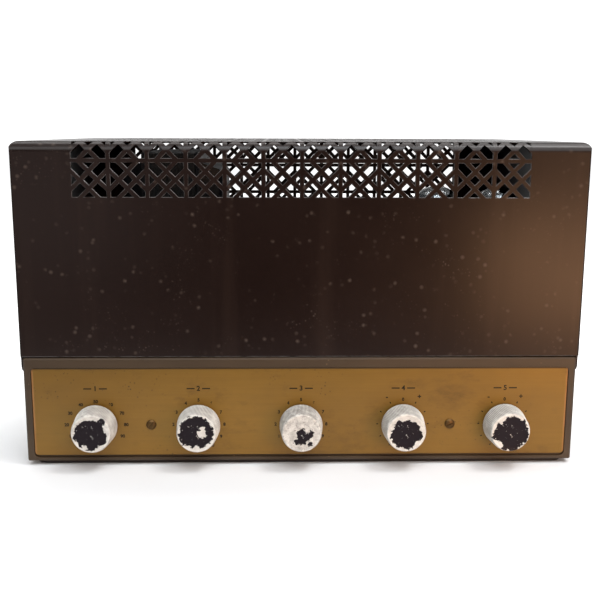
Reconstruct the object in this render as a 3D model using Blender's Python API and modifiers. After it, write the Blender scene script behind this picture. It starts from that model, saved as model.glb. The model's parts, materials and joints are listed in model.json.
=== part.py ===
"""A valve integrated amplifier: folded steel chassis, brass front panel with five
knobs, and a one-piece cover whose top third is pierced with a square lattice.

The origin is the centre of the bottom pan's underside, +Z is up, and the knobs
face -Y. Run it with blender --background --python part.py.
"""

import math

import bmesh
import bpy
from mathutils import Vector

MM = 0.001

# Fits that every piece shares
FIT = 0.3 * MM
OVERRUN = 1.5 * MM

# Cover
COVER_WIDTH = 382 * MM
COVER_DEPTH = 250 * MM
COVER_TOP = 222.5 * MM
COVER_SHEET = 1.2 * MM
COVER_BEND_RADIUS = 7 * MM
COVER_END_RADIUS = 5 * MM
COVER_CORNER_RADIUS = 1.5 * MM
COVER_GAP = 0.7 * MM
SKIRT_REACH = 11 * MM
SKIRT_ROUND = 5 * MM
SKIRT_INSET = 1 * MM
BEND_FACETS = 3

# Lattice pierced in the cover: square cells, each with a small diamond in the
# middle, four slots towards its corners and four triangles on its sides
CELL = 25.4 * MM
LATTICE_END_MARGIN = 38.6 * MM
LATTICE_FRONT_DROP = 37.7 * MM
LATTICE_REAR_DROP = 74 * MM
BAR_WIDTH = 3 * MM
SLOT_WIDTH = 5.1 * MM
DIAGONAL_WIDTH = 3.3 * MM
DIAMOND_SIDE = 4.6 * MM
SLOT_MOUTH = 3.6 * MM
DETAILED_ROWS = 1
PLAIN_DIAMOND_SHARE = 0.78

# Chassis
CHASSIS_LIFT = 3 * MM
CHASSIS_HEIGHT = 74.2 * MM
CHASSIS_SHEET = 1.2 * MM
CHASSIS_BEND_RADIUS = 1.5 * MM
CHASSIS_FLANGE = 10 * MM

# Bottom pan
PAN_INSET = 4.5 * MM
PAN_SHEET = 1.2 * MM
PAN_CORNER_RADIUS = 7 * MM
VENT_LENGTH = 40 * MM
VENT_WIDTH = 4 * MM
VENT_PITCH = 12 * MM
VENTS_IN_A_GROUP = 6
VENT_GROUP_SHARES = ((-0.24, 0.16), (0.33, -0.14))

# Front panel, let into a pressed recess of the chassis
PANEL_SHEET = 0.8 * MM
PANEL_SET_BACK = 0.8 * MM
PANEL_END_BORDER = 5.3 * MM
PANEL_TOP_BORDER = 7.4 * MM
PANEL_LOWER_BORDER = 3.1 * MM
PANEL_CORNER_RADIUS = 3 * MM
PANEL_SCREW_SHARE = 0.273
PANEL_SCREW_SHANK = 3.5 * MM
PANEL_SCREW_HEAD = 7 * MM
PANEL_SCREW_DOME = 1.5 * MM
PANEL_SCREW_LENGTH = 8 * MM
PANEL_SCREW_SLOT = 1 * MM

# Controls
CONTROL_SPACING_SHARE = 0.1863
CONTROL_HEIGHT = 29.2 * MM
CONTROLS = ("selector", "level", "loudness", "bass", "treble")
SHAFT_DIAMETER = 6.35 * MM
SHAFT_FLAT = 0.8 * MM
BUSHING_DIAMETER = 9.5 * MM
BUSHING_REACH = 6 * MM
NUT_SHARE = 1.5
NUT_THICKNESS = 2.5 * MM
POT_DIAMETER = 24 * MM
POT_DEPTH = 13 * MM

# Knobs
KNOB_LENGTH = 17 * MM
KNOB_BASE_DIAMETER = 30 * MM
KNOB_FACE_DIAMETER = 26.5 * MM
KNOB_EDGE = 1.2 * MM
KNOB_STAND_OFF = 1.5 * MM
KNOB_HOLLOW = 8 * MM
KNOB_FACE_WALL = 3 * MM
KNOB_FACETS = 20

# Selector switch behind the first knob
WAFER_DIAMETER = 34 * MM
WAFER_THICKNESS = 1.6 * MM
WAFER_SPACING = 16 * MM
WAFER_HOLE = 18 * MM
INDEX_DEPTH = 7 * MM
ROD_SPAN = 39.6 * MM
ROD_DIAMETER = 3 * MM
EAR_WIDTH = 8 * MM

# Transformers: a stack of laminations between two drawn bells
TRANSFORMER_SHEET = 1.5 * MM
BELL_RIM = 7 * MM
BELL_TAPER = 5 * MM
BELL_ROUND = 3 * MM
FOOT_REACH = 10 * MM
POWER_STACK = 36 * MM
POWER_BELL = 18 * MM
POWER_DEPTH = 104 * MM
POWER_HEIGHT = 137 * MM
POWER_PLACE_SHARE = (-0.2414, -0.14)
OUTPUT_STACK = 40 * MM
OUTPUT_BELL = 19 * MM
OUTPUT_DEPTH = 96 * MM
OUTPUT_HEIGHT = 84 * MM
OUTPUT_PLACE_SHARE = (0.334, 0.18)
LEAD_HOLE = 10 * MM

# Valves: outlines are shares of the greatest radius and of the height
RECTIFIER_DIAMETER = 50 * MM
RECTIFIER_GLASS_HEIGHT = 103 * MM
RECTIFIER_PLACE_SHARE = (-0.2375, 0.21)
RECTIFIER_OUTLINE_SHARES = (
    (0, 1), (0.3, 0.985), (0.52, 0.93), (0.6, 0.84), (0.74, 0.72),
    (1, 0.52), (0.95, 0.36), (0.62, 0.1), (0.56, 0), (0, 0),
)
OUTPUT_VALVE_DIAMETER = 36 * MM
OUTPUT_GLASS_HEIGHT = 88 * MM
OUTPUT_VALVE_SHARES = ((0.2744, -0.18), (0.401, -0.18))
OUTPUT_OUTLINE_SHARES = (
    (0, 1), (0.45, 0.97), (0.8, 0.89), (0.98, 0.76), (1, 0.3), (0.82, 0), (0, 0),
)
OCTAL_BASE_DIAMETER = 33 * MM
OCTAL_BASE_HEIGHT = 21 * MM
SPIGOT_DIAMETER = 8 * MM
SPIGOT_LENGTH = 11 * MM
SMALL_VALVE_DIAMETER = 22 * MM
SMALL_VALVE_HEIGHT = 54 * MM
SMALL_VALVE_COUNT = 4
SMALL_VALVE_LINE_SHARE = -0.22
SMALL_OUTLINE_SHARES = ((0, 1), (0.18, 0.95), (0.7, 0.87), (1, 0.78), (1, 0.05), (0, 0))

# Valve sockets, held under the deck by a saddle
OCTAL_SOCKET_DIAMETER = 28 * MM
OCTAL_SADDLE_DIAMETER = 38 * MM
SMALL_SOCKET_DIAMETER = 18 * MM
SMALL_SADDLE_DIAMETER = 25 * MM
SOCKET_LIP = 2 * MM
SOCKET_DROP = 10 * MM
SADDLE_SHEET = 1 * MM

# Filter capacitors in upright cans
CAN_DIAMETER = 35 * MM
CAN_HEIGHT = 88 * MM
CAN_BEAD = 1.5 * MM
CAN_STUB_DIAMETER = 25 * MM
CAN_STUB_DROP = 8 * MM
CAN_SHARES = ((-0.05, 0.18), (0.1, 0.18))

# Rear apron
REAR_HEIGHT = 40 * MM
JACK_COUNT = 6
JACK_PITCH = 17 * MM
JACK_DIAMETER = 8.4 * MM
JACK_REACH = 8 * MM
JACK_BORE = 3.4 * MM
JACK_STRIP_HEIGHT = 24 * MM
JACK_PLACE_SHARE = 0.02
STRIP_THICKNESS = 1.6 * MM
STRIP_END = 9 * MM
WINDOW_SHARE = 0.6
TERMINAL_COUNT = 5
TERMINAL_PITCH = 13 * MM
TERMINAL_DIAMETER = 7 * MM
TERMINAL_REACH = 5 * MM
TERMINAL_STRIP_HEIGHT = 18 * MM
TERMINAL_PLACE_SHARE = 0.32
OUTLET_WIDTH = 26 * MM
OUTLET_HEIGHT = 20 * MM
OUTLET_FLANGE = 3 * MM
OUTLET_BODY_SHARE = 0.75
OUTLET_BODY_DEPTH = 16 * MM
OUTLET_SLOT_GAP = 12.7 * MM
OUTLET_SLOT_WIDTH = 2 * MM
OUTLET_SLOT_HEIGHT = 7.5 * MM
OUTLET_PLACE_SHARES = (-0.28, -0.19)
FUSE_PLACE_SHARE = -0.37
FUSE_BODY_DIAMETER = 12.7 * MM
FUSE_FLANGE_DIAMETER = 17 * MM
FUSE_FLANGE = 2.5 * MM
FUSE_BODY_DEPTH = 36 * MM
FUSE_CAP_DIAMETER = 13 * MM
FUSE_CAP_LENGTH = 9 * MM
FUSE_PLUG_DIAMETER = 7 * MM
FUSE_PLUG_LENGTH = 12 * MM
GROMMET_PLACE_SHARE = -0.44
GROMMET_HOLE = 12.7 * MM
GROMMET_DIAMETER = 17 * MM
GROMMET_BORE = 7 * MM
GROMMET_LIP = 2 * MM

# Tag strips under the deck
TAG_COUNT = 5
TAG_PITCH = 9.5 * MM
TAG_WIDTH = 3.5 * MM
TAG_LENGTH = 6 * MM
TAG_STRIP_HEIGHT = 9 * MM
TAG_STRIP_THICKNESS = 1.6 * MM
TAG_FOOT_DROP = 8 * MM
TAG_STRIP_SHARES = ((-0.03, 0.02), (0.12, 0.02))

# Sizes that follow
CHASSIS_WIDTH = COVER_WIDTH - 2 * (COVER_SHEET + FIT)
DECK_TOP = CHASSIS_LIFT + CHASSIS_HEIGHT
DECK_UNDERSIDE = DECK_TOP - CHASSIS_SHEET
COVER_BOTTOM = DECK_TOP + COVER_GAP
SKIRT_BOTTOM = DECK_TOP - SKIRT_REACH
FRONT_FACE = -COVER_DEPTH / 2
REAR_FACE = COVER_DEPTH / 2
PANEL_FACE = FRONT_FACE + PANEL_SET_BACK
PANEL_BACK = PANEL_FACE + PANEL_SHEET
RECESS_FLOOR = PANEL_BACK + FIT
APRON_INSIDE = RECESS_FLOOR + CHASSIS_SHEET
PANEL_HALF_WIDTH = CHASSIS_WIDTH / 2 - PANEL_END_BORDER
PANEL_LOWER_EDGE = CHASSIS_LIFT + PANEL_LOWER_BORDER
PANEL_UPPER_EDGE = DECK_TOP - PANEL_TOP_BORDER
KNOB_BACK = PANEL_FACE - KNOB_STAND_OFF
NUT_RADIUS = BUSHING_DIAMETER / 2 * NUT_SHARE
SHAFT_RADIUS = SHAFT_DIAMETER / 2
TURN_TO_FRONT = (math.pi / 2, 0, 0)
TURN_TO_REAR = (-math.pi / 2, 0, 0)
UPRIGHT = (0, 0, 0)
ORIGIN = (0, 0, 0)

# Colour, roughness and metallic value of each material
FINISHES = {
    "cover_enamel": ((0.045, 0.026, 0.019), 0.42, 0.0),
    "chassis_enamel": ((0.115, 0.077, 0.049), 0.45, 0.2),
    "panel_brass": ((0.25, 0.125, 0.03), 0.4, 0.7),
    "pan_enamel": ((0.02, 0.017, 0.016), 0.6, 0.0),
    "knob_plastic": ((0.42, 0.4, 0.37), 0.7, 0.0),
    "plated_steel": ((0.5, 0.49, 0.46), 0.35, 0.9),
    "phenolic": ((0.16, 0.08, 0.03), 0.55, 0.0),
    "black_bakelite": ((0.012, 0.011, 0.011), 0.35, 0.0),
    "lamination": ((0.09, 0.09, 0.09), 0.5, 0.8),
    "bell_enamel": ((0.02, 0.02, 0.021), 0.4, 0.1),
    "valve_glass": ((0.62, 0.66, 0.66), 0.05, 0.0),
    "can_aluminium": ((0.6, 0.6, 0.6), 0.35, 1.0),
    "grommet_rubber": ((0.018, 0.018, 0.018), 0.8, 0.0),
}


def clear_scene():
    for obj in list(bpy.data.objects):
        bpy.data.objects.remove(obj, do_unlink=True)


def new_collection(name):
    group = bpy.data.collections.new(name)
    bpy.context.scene.collection.children.link(group)
    return group


def make_materials():
    for name, (color, roughness, metallic) in FINISHES.items():
        material = bpy.data.materials.new(name)
        material.use_nodes = True
        shader = material.node_tree.nodes["Principled BSDF"]
        shader.inputs["Base Color"].default_value = (*color, 1)
        shader.inputs["Roughness"].default_value = roughness
        shader.inputs["Metallic"].default_value = metallic
        material.diffuse_color = (*color, 1)


clear_scene()
PARTS = new_collection("tube_amplifier")
CUTTERS = new_collection("cutters")
CUTTERS.hide_render = True
make_materials()


# Building blocks


def on_chassis(shares, height=0):
    """The point on the chassis plan at these shares of its width and depth."""
    return (shares[0] * CHASSIS_WIDTH, shares[1] * COVER_DEPTH, height)


def place(obj, at, turn, finish):
    """Puts an object among the parts with a finish, or, with none, among the cutters."""
    obj.location = at
    obj.rotation_euler = turn
    if finish:
        obj.data.materials.append(bpy.data.materials[finish])
        PARTS.objects.link(obj)
    else:
        obj.hide_render = True
        obj.display_type = "WIRE"
        CUTTERS.objects.link(obj)
    return obj


def from_bmesh(name, bm, at=ORIGIN, turn=UPRIGHT, finish=None):
    bmesh.ops.recalc_face_normals(bm, faces=bm.faces)
    mesh = bpy.data.meshes.new(name)
    bm.to_mesh(mesh)
    bm.free()
    return place(bpy.data.objects.new(name, mesh), at, turn, finish)


def add_box(bm, low, high):
    """Adds a cube stretched between two corners, and gives back its vertices."""
    verts = bmesh.ops.create_cube(bm, size=1)["verts"]
    for vert in verts:
        for axis in range(3):
            middle = (low[axis] + high[axis]) / 2
            vert.co[axis] = middle + vert.co[axis] * (high[axis] - low[axis])
    return verts


def add_rod(bm, start, end, radius, facets):
    """Adds a capped cylinder between two points."""
    start, end = Vector(start), Vector(end)
    along = end - start
    turn = Vector((0, 0, 1)).rotation_difference(along).to_matrix()
    verts = bmesh.ops.create_cone(
        bm, cap_ends=True, segments=facets, radius1=radius, radius2=radius, depth=along.length
    )["verts"]
    bmesh.ops.rotate(bm, verts=verts, matrix=turn)
    bmesh.ops.translate(bm, verts=verts, vec=(start + end) / 2)


def box(name, low, high, at=ORIGIN, finish=None):
    bm = bmesh.new()
    add_box(bm, low, high)
    return from_bmesh(name, bm, at, UPRIGHT, finish)


def rods(name, runs, radius, facets, at=ORIGIN, turn=UPRIGHT, finish=None):
    """One object that holds a cylinder for each (start, end) pair."""
    bm = bmesh.new()
    for start, end in runs:
        add_rod(bm, start, end, radius, facets)
    return from_bmesh(name, bm, at, turn, finish)


def prism(name, outline, low_x, high_x):
    """A cutter with an outline of (y, z) points, extruded along X."""
    bm = bmesh.new()
    face = bm.faces.new([bm.verts.new((low_x, y, z)) for y, z in outline])
    made = bmesh.ops.extrude_face_region(bm, geom=[face])["geom"]
    moved = [item for item in made if isinstance(item, bmesh.types.BMVert)]
    bmesh.ops.translate(bm, verts=moved, vec=(high_x - low_x, 0, 0))
    return from_bmesh(name, bm)


def turned(name, profile, facets, at=ORIGIN, turn=UPRIGHT, finish=None, ring=False):
    """A profile of (radius, height) points, spun round the object's own Z axis."""
    count = len(profile)
    edges = [(i, i + 1) for i in range(count - 1)]
    if ring:
        edges.append((count - 1, 0))
    mesh = bpy.data.meshes.new(name)
    mesh.from_pydata([(radius, 0, height) for radius, height in profile], edges, [])
    obj = place(bpy.data.objects.new(name, mesh), at, turn, finish)
    screw = obj.modifiers.new("turn", "SCREW")
    screw.steps = facets
    screw.render_steps = facets
    screw.use_merge_vertices = True
    screw.merge_threshold = 0.00001
    screw.use_smooth_shade = False
    return obj


def boolean(obj, operation, *others):
    for other in others:
        step = obj.modifiers.new(f"{operation.lower()} {other.name}", "BOOLEAN")
        step.operation = operation
        step.solver = "EXACT"
        step.object = other
    return obj


def cut(obj, *cutters):
    return boolean(obj, "DIFFERENCE", *cutters)


def join(obj, *additions):
    return boolean(obj, "UNION", *additions)


def round_edges(obj, radius, facets):
    """Rounds the edges that carry a bevel weight; a weight of 1 gives the full radius."""
    bevel = obj.modifiers.new("rounded edges", "BEVEL")
    bevel.limit_method = "WEIGHT"
    bevel.width = radius
    bevel.segments = facets


def thicken(obj, sheet):
    """Gives an open surface the thickness of its sheet, on the inner side."""
    shell = obj.modifiers.new("sheet", "SOLIDIFY")
    shell.thickness = sheet
    shell.offset = -1
    shell.use_even_offset = True


def weigh_edges(bm, weight_of):
    """Sets each edge's bevel weight from the axis that it runs along and its middle."""
    layer = bm.edges.layers.float.new("bevel_weight_edge")
    for edge in bm.edges:
        run = edge.verts[1].co - edge.verts[0].co
        axis = max(range(3), key=lambda i: abs(run[i]))
        edge[layer] = weight_of(axis, (edge.verts[0].co + edge.verts[1].co) / 2)


# The cover and its lattice


def arc(centre, radius, start_angle, end_angle, facets):
    """Points on an arc in a plane, both ends included."""
    step = (end_angle - start_angle) / facets
    return [
        (
            centre[0] + radius * math.cos(start_angle + i * step),
            centre[1] + radius * math.sin(start_angle + i * step),
        )
        for i in range(facets + 1)
    ]


class CoverRun:
    """The cover's sheet, unrolled: up the front, over the top and down the rear."""

    neutral_radius = COVER_BEND_RADIUS - COVER_SHEET / 2
    quarter = neutral_radius * math.pi / 2
    start = COVER_TOP - LATTICE_FRONT_DROP
    front = LATTICE_FRONT_DROP - COVER_BEND_RADIUS
    top = COVER_DEPTH - 2 * COVER_BEND_RADIUS
    rear = LATTICE_REAR_DROP - COVER_BEND_RADIUS
    length = front + top + rear + 2 * quarter

    @classmethod
    def point(cls, x, run, out):
        """The point at a run along the sheet from the lattice's foot, out from its face."""
        bend = cls.neutral_radius
        reach = COVER_BEND_RADIUS + out
        centre_height = COVER_TOP - COVER_BEND_RADIUS
        if run <= cls.front:
            return (x, FRONT_FACE - out, cls.start + run)
        run -= cls.front
        if run <= cls.quarter:
            angle = run / bend
            y = FRONT_FACE + COVER_BEND_RADIUS - reach * math.cos(angle)
            return (x, y, centre_height + reach * math.sin(angle))
        run -= cls.quarter
        if run <= cls.top:
            return (x, FRONT_FACE + COVER_BEND_RADIUS + run, COVER_TOP + out)
        run -= cls.top
        if run <= cls.quarter:
            angle = run / bend
            y = REAR_FACE - COVER_BEND_RADIUS + reach * math.sin(angle)
            return (x, y, centre_height + reach * math.cos(angle))
        run -= cls.quarter
        return (x, REAR_FACE + out, centre_height - run)

    @classmethod
    def facing(cls, run):
        """The direction in which the sheet faces at a run."""
        return (Vector(cls.point(0, run, OVERRUN)) - Vector(cls.point(0, run, 0))).normalized()


def cell_holes():
    """The outlines of one cell's nine holes, about the cell's centre."""
    corner = CELL / 2 - BAR_WIDTH / 2
    slot_start = DIAMOND_SIDE / 2 + DIAGONAL_WIDTH
    half = DIAMOND_SIDE / math.sqrt(2)
    diamond = [(half, 0), (0, half), (-half, 0), (0, -half)]
    side = SLOT_WIDTH / math.sqrt(2)
    foot = slot_start / math.sqrt(2)
    slot = [
        (corner - SLOT_MOUTH, corner),
        (foot - side / 2, foot + side / 2),
        (foot + side / 2, foot - side / 2),
        (corner, corner - SLOT_MOUTH),
    ]
    apex = slot_start * math.sqrt(2)
    base = corner - apex
    triangle = [(corner, -base), (corner, base), (apex, 0)]
    holes = [diamond]
    for quarter in range(4):
        c = round(math.cos(quarter * math.pi / 2))
        s = round(math.sin(quarter * math.pi / 2))
        for outline in (slot, triangle):
            holes.append([(c * x - s * y, s * x + c * y) for x, y in outline])
    return holes


def plain_holes():
    """One open diamond, for the rows that only the top and rear views show."""
    half = (CELL / 2 - BAR_WIDTH / 2) * PLAIN_DIAMOND_SHARE
    return [[(half, 0), (0, half), (-half, 0), (0, -half)]]


def add_hole(bm, outline):
    """Adds a straight cutter for one hole, square to the middle of the sheet that it covers."""
    runs = [run for _, run in outline]
    along = (CoverRun.facing(min(runs)) + CoverRun.facing(max(runs))).normalized()
    on_sheet = [Vector(CoverRun.point(x, run, 0)) for x, run in outline]
    heights = [point.dot(along) for point in on_sheet]
    top = max(heights) + OVERRUN
    foot = min(heights) - COVER_SHEET * math.sqrt(2) - FIT
    outer = [bm.verts.new(p + along * (top - h)) for p, h in zip(on_sheet, heights)]
    inner = [bm.verts.new(p + along * (foot - h)) for p, h in zip(on_sheet, heights)]
    bm.faces.new(outer)
    bm.faces.new(reversed(inner))
    for i in range(len(outline)):
        j = (i + 1) % len(outline)
        bm.faces.new([outer[j], outer[i], inner[i], inner[j]])


def make_lattice_cutter():
    columns = round((COVER_WIDTH - 2 * LATTICE_END_MARGIN) / CELL)
    rows = round(CoverRun.length / CELL)
    bm = bmesh.new()
    for row in range(rows):
        holes = cell_holes() if row < DETAILED_ROWS else plain_holes()
        for column in range(columns):
            middle = ((column - (columns - 1) / 2) * CELL, (row + 0.5) * CELL)
            for outline in holes:
                add_hole(bm, [(middle[0] + x, middle[1] + y) for x, y in outline])
    return from_bmesh("lattice_cutter", bm)


def make_skirt_cutter(name, side):
    """Cuts one end of the cover up to its front or rear wall and rounds the flaps' corner."""
    edge = COVER_DEPTH / 2 - COVER_CORNER_RADIUS - SKIRT_INSET
    corner = arc(
        (edge - SKIRT_ROUND, SKIRT_BOTTOM + SKIRT_ROUND), SKIRT_ROUND, 0, -math.pi / 2, BEND_FACETS
    )
    below = SKIRT_BOTTOM - OVERRUN
    outline = [
        (COVER_DEPTH / 2 + OVERRUN, COVER_BOTTOM),
        (edge, COVER_BOTTOM),
        *corner,
        (edge - SKIRT_ROUND, below),
        (COVER_DEPTH / 2 + OVERRUN, below),
    ]
    reach = COVER_WIDTH / 2 + OVERRUN
    return prism(name, [(side * y, z) for y, z in outline], -reach, reach)


def cover_body(name, inset, bottom, finish=None):
    """The cover's solid form, or its hollow when it is inset by the sheet.

    Each of three blocks rounds the edges along one axis, and the body is what they share.
    """
    low = (inset - COVER_WIDTH / 2, FRONT_FACE + inset, bottom)
    high = (COVER_WIDTH / 2 - inset, REAR_FACE - inset, COVER_TOP - inset)
    under = (low[0], low[1], bottom - COVER_BEND_RADIUS - OVERRUN)
    body = rounded_block(name, low, high, COVER_CORNER_RADIUS - inset, 2, finish)
    bends = rounded_block(f"{name}_bends", under, high, COVER_BEND_RADIUS - inset, 0)
    ends = rounded_block(f"{name}_ends", under, high, COVER_END_RADIUS - inset, 1)
    return boolean(body, "INTERSECT", bends, ends)


def make_cover():
    cover = cover_body("cover", 0, SKIRT_BOTTOM, "cover_enamel")
    cut(
        cover,
        cover_body("cover_hollow", COVER_SHEET, SKIRT_BOTTOM - OVERRUN),
        make_skirt_cutter("front_skirt_cutter", -1),
        make_skirt_cutter("rear_skirt_cutter", 1),
        make_lattice_cutter(),
    )


# The chassis, the panel and the bottom pan


def rounded_block(name, low, high, radius, along, finish=None):
    """A block whose four edges along one axis are rounded."""
    bm = bmesh.new()
    add_box(bm, low, high)
    weigh_edges(bm, lambda axis, middle: 1 if axis == along else 0)
    obj = from_bmesh(name, bm, finish=finish)
    round_edges(obj, radius, BEND_FACETS)
    return obj


def recess_block(name, grow, front, back):
    """A block with the panel's outline, grown on all sides, between two depths."""
    reach = PANEL_HALF_WIDTH + grow
    return rounded_block(
        name,
        (-reach, front, PANEL_LOWER_EDGE - grow),
        (reach, back, PANEL_UPPER_EDGE + grow),
        PANEL_CORNER_RADIUS + grow,
        1,
    )


def control_x(index):
    return (index - (len(CONTROLS) - 1) / 2) * CONTROL_SPACING_SHARE * CHASSIS_WIDTH


def front_holes(name):
    """Bores for the control bushings and the panel screws, through panel and apron."""
    bm = bmesh.new()
    near, far = FRONT_FACE - OVERRUN, APRON_INSIDE + OVERRUN
    sizes = [(control_x(i), BUSHING_DIAMETER) for i in range(len(CONTROLS))]
    screws = PANEL_SCREW_SHARE * CHASSIS_WIDTH
    sizes += [(side * screws, PANEL_SCREW_SHANK) for side in (-1, 1)]
    for x, diameter in sizes:
        facets = 12 if diameter == BUSHING_DIAMETER else 8
        start, end = (x, near, CONTROL_HEIGHT), (x, far, CONTROL_HEIGHT)
        add_rod(bm, start, end, diameter / 2 + FIT, facets)
    return from_bmesh(name, bm)


def small_valve_shares():
    """The small valves' places, with even gaps from the power transformer to an output valve."""
    left = on_chassis(POWER_PLACE_SHARE)[0] + POWER_STACK / 2 + POWER_BELL
    right = on_chassis(OUTPUT_VALVE_SHARES[0])[0] - OCTAL_SADDLE_DIAMETER / 2
    gap = (right - left - SMALL_VALVE_COUNT * SMALL_SADDLE_DIAMETER) / (SMALL_VALVE_COUNT + 1)
    pitch = gap + SMALL_SADDLE_DIAMETER
    first = left + gap + SMALL_SADDLE_DIAMETER / 2
    places = [first + i * pitch for i in range(SMALL_VALVE_COUNT)]
    return [(x / CHASSIS_WIDTH, SMALL_VALVE_LINE_SHARE) for x in places]


def deck_holes():
    """Holes in the deck for the sockets, the capacitor stubs and the transformer leads."""
    bm = bmesh.new()
    low, high = DECK_UNDERSIDE - OVERRUN, DECK_TOP + OVERRUN
    octal = (RECTIFIER_PLACE_SHARE, *OUTPUT_VALVE_SHARES)
    sizes = [(shares, OCTAL_SOCKET_DIAMETER, 12) for shares in octal]
    sizes += [(shares, SMALL_SOCKET_DIAMETER, 8) for shares in small_valve_shares()]
    sizes += [(shares, CAN_STUB_DIAMETER, 12) for shares in CAN_SHARES]
    leads = (POWER_PLACE_SHARE, OUTPUT_PLACE_SHARE)
    sizes += [(shares, LEAD_HOLE, 8) for shares in leads]
    for shares, diameter, facets in sizes:
        add_rod(bm, on_chassis(shares, low), on_chassis(shares, high), diameter / 2 + FIT, facets)
    return from_bmesh("deck_holes", bm)


def jack_strip_size():
    return ((JACK_COUNT - 1) * JACK_PITCH / 2 + STRIP_END, JACK_STRIP_HEIGHT / 2)


def terminal_strip_size():
    return ((TERMINAL_COUNT - 1) * TERMINAL_PITCH / 2 + STRIP_END, TERMINAL_STRIP_HEIGHT / 2)


def rear_holes():
    """Windows and bores in the rear apron."""
    bm = bmesh.new()
    near, far = REAR_FACE - CHASSIS_SHEET - OVERRUN, REAR_FACE + OVERRUN
    for share, (half_width, half_height) in (
        (JACK_PLACE_SHARE, jack_strip_size()),
        (TERMINAL_PLACE_SHARE, terminal_strip_size()),
    ):
        middle = share * CHASSIS_WIDTH
        reach, rise = half_width - STRIP_END / 2, half_height * WINDOW_SHARE
        low = (middle - reach, near, REAR_HEIGHT - rise)
        add_box(bm, low, (middle + reach, far, REAR_HEIGHT + rise))
    for share in OUTLET_PLACE_SHARES:
        middle = share * CHASSIS_WIDTH
        reach = OUTLET_WIDTH / 2 * OUTLET_BODY_SHARE + FIT
        rise = OUTLET_HEIGHT / 2 * OUTLET_BODY_SHARE + FIT
        low = (middle - reach, near, REAR_HEIGHT - rise)
        add_box(bm, low, (middle + reach, far, REAR_HEIGHT + rise))
    for share, diameter in ((FUSE_PLACE_SHARE, FUSE_BODY_DIAMETER), (GROMMET_PLACE_SHARE, GROMMET_HOLE)):
        x = share * CHASSIS_WIDTH
        add_rod(bm, (x, near, REAR_HEIGHT), (x, far, REAR_HEIGHT), diameter / 2 + FIT, 12)
    return from_bmesh("rear_holes", bm)


def make_chassis():
    bm = bmesh.new()
    add_box(
        bm,
        (-CHASSIS_WIDTH / 2, FRONT_FACE, CHASSIS_LIFT),
        (CHASSIS_WIDTH / 2, REAR_FACE, DECK_TOP),
    )
    floor = min(bm.faces, key=lambda face: face.calc_center_median().z)
    bmesh.ops.inset_region(bm, faces=[floor], thickness=CHASSIS_FLANGE, use_even_offset=True)
    bmesh.ops.delete(bm, geom=[floor], context="FACES_ONLY")
    half_width, half_depth = CHASSIS_WIDTH / 2, COVER_DEPTH / 2

    def weight(axis, middle):
        outside = abs(middle.x) > half_width - FIT or abs(middle.y) > half_depth - FIT
        return 1 if outside else 0

    weigh_edges(bm, weight)
    chassis = from_bmesh("chassis", bm, finish="chassis_enamel")
    round_edges(chassis, CHASSIS_BEND_RADIUS, 2)
    thicken(chassis, CHASSIS_SHEET)
    behind = FRONT_FACE + CHASSIS_SHEET / 2
    join(chassis, recess_block("recess_back", FIT + CHASSIS_SHEET, behind, APRON_INSIDE))
    cut(
        chassis,
        recess_block("recess_cutter", FIT, FRONT_FACE - OVERRUN, RECESS_FLOOR),
        front_holes("apron_holes"),
        deck_holes(),
        rear_holes(),
    )


def make_front_panel():
    panel = rounded_block(
        "front_panel",
        (-PANEL_HALF_WIDTH, PANEL_FACE, PANEL_LOWER_EDGE),
        (PANEL_HALF_WIDTH, PANEL_BACK, PANEL_UPPER_EDGE),
        PANEL_CORNER_RADIUS,
        1,
        finish="panel_brass",
    )
    cut(panel, front_holes("panel_holes"))


def make_bottom_pan():
    """A shallow tray: its floor is what the amplifier stands on, its rim meets the chassis."""
    reach = CHASSIS_WIDTH / 2 - PAN_INSET
    run = COVER_DEPTH / 2 - PAN_INSET
    bm = bmesh.new()
    add_box(bm, (-reach, -run, 0), (reach, run, CHASSIS_LIFT - FIT))
    lid = max(bm.faces, key=lambda face: face.calc_center_median().z)
    bmesh.ops.delete(bm, geom=[lid], context="FACES_ONLY")
    weigh_edges(bm, lambda axis, middle: 1 if axis == 2 else 0)
    pan = from_bmesh("bottom_plate", bm, finish="pan_enamel")
    round_edges(pan, PAN_CORNER_RADIUS, BEND_FACETS)
    thicken(pan, PAN_SHEET)
    vents = bmesh.new()
    for group in VENT_GROUP_SHARES:
        x, y, _ = on_chassis(group)
        for i in range(VENTS_IN_A_GROUP):
            middle = x + (i - (VENTS_IN_A_GROUP - 1) / 2) * VENT_PITCH
            low = (middle - VENT_WIDTH / 2, y - VENT_LENGTH / 2, -OVERRUN)
            add_box(vents, low, (middle + VENT_WIDTH / 2, y + VENT_LENGTH / 2, PAN_SHEET + OVERRUN))
    cut(pan, from_bmesh("vent_cutter", vents))


def make_panel_screws():
    head = PANEL_SCREW_HEAD / 2
    shank = PANEL_SCREW_SHANK / 2
    seat = FIT
    top = seat + PANEL_SCREW_DOME
    profile = [
        (0, top), (head / 2, top - PANEL_SCREW_DOME / 4), (head, seat + PANEL_SCREW_DOME / 4),
        (head, seat), (shank, seat), (shank, -PANEL_SCREW_LENGTH), (0, -PANEL_SCREW_LENGTH),
    ]
    half = PANEL_SCREW_SLOT / 2
    for side, word in ((-1, "left"), (1, "right")):
        at = (side * PANEL_SCREW_SHARE * CHASSIS_WIDTH, PANEL_FACE, CONTROL_HEIGHT)
        screw = turned(f"panel_screw_{word}", profile, 8, at, TURN_TO_FRONT, "plated_steel")
        deep = PANEL_FACE - seat - PANEL_SCREW_DOME / 2
        low = (at[0] - head - OVERRUN, deep - PANEL_SCREW_DOME, at[2] - half)
        cut(screw, box(f"screw_slot_{word}", low, (at[0] + head + OVERRUN, deep, at[2] + half)))


# Controls


def knob_depths():
    """Where the knob's hollow and bore end, measured forward from its back."""
    return KNOB_HOLLOW, KNOB_LENGTH - KNOB_FACE_WALL


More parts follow.
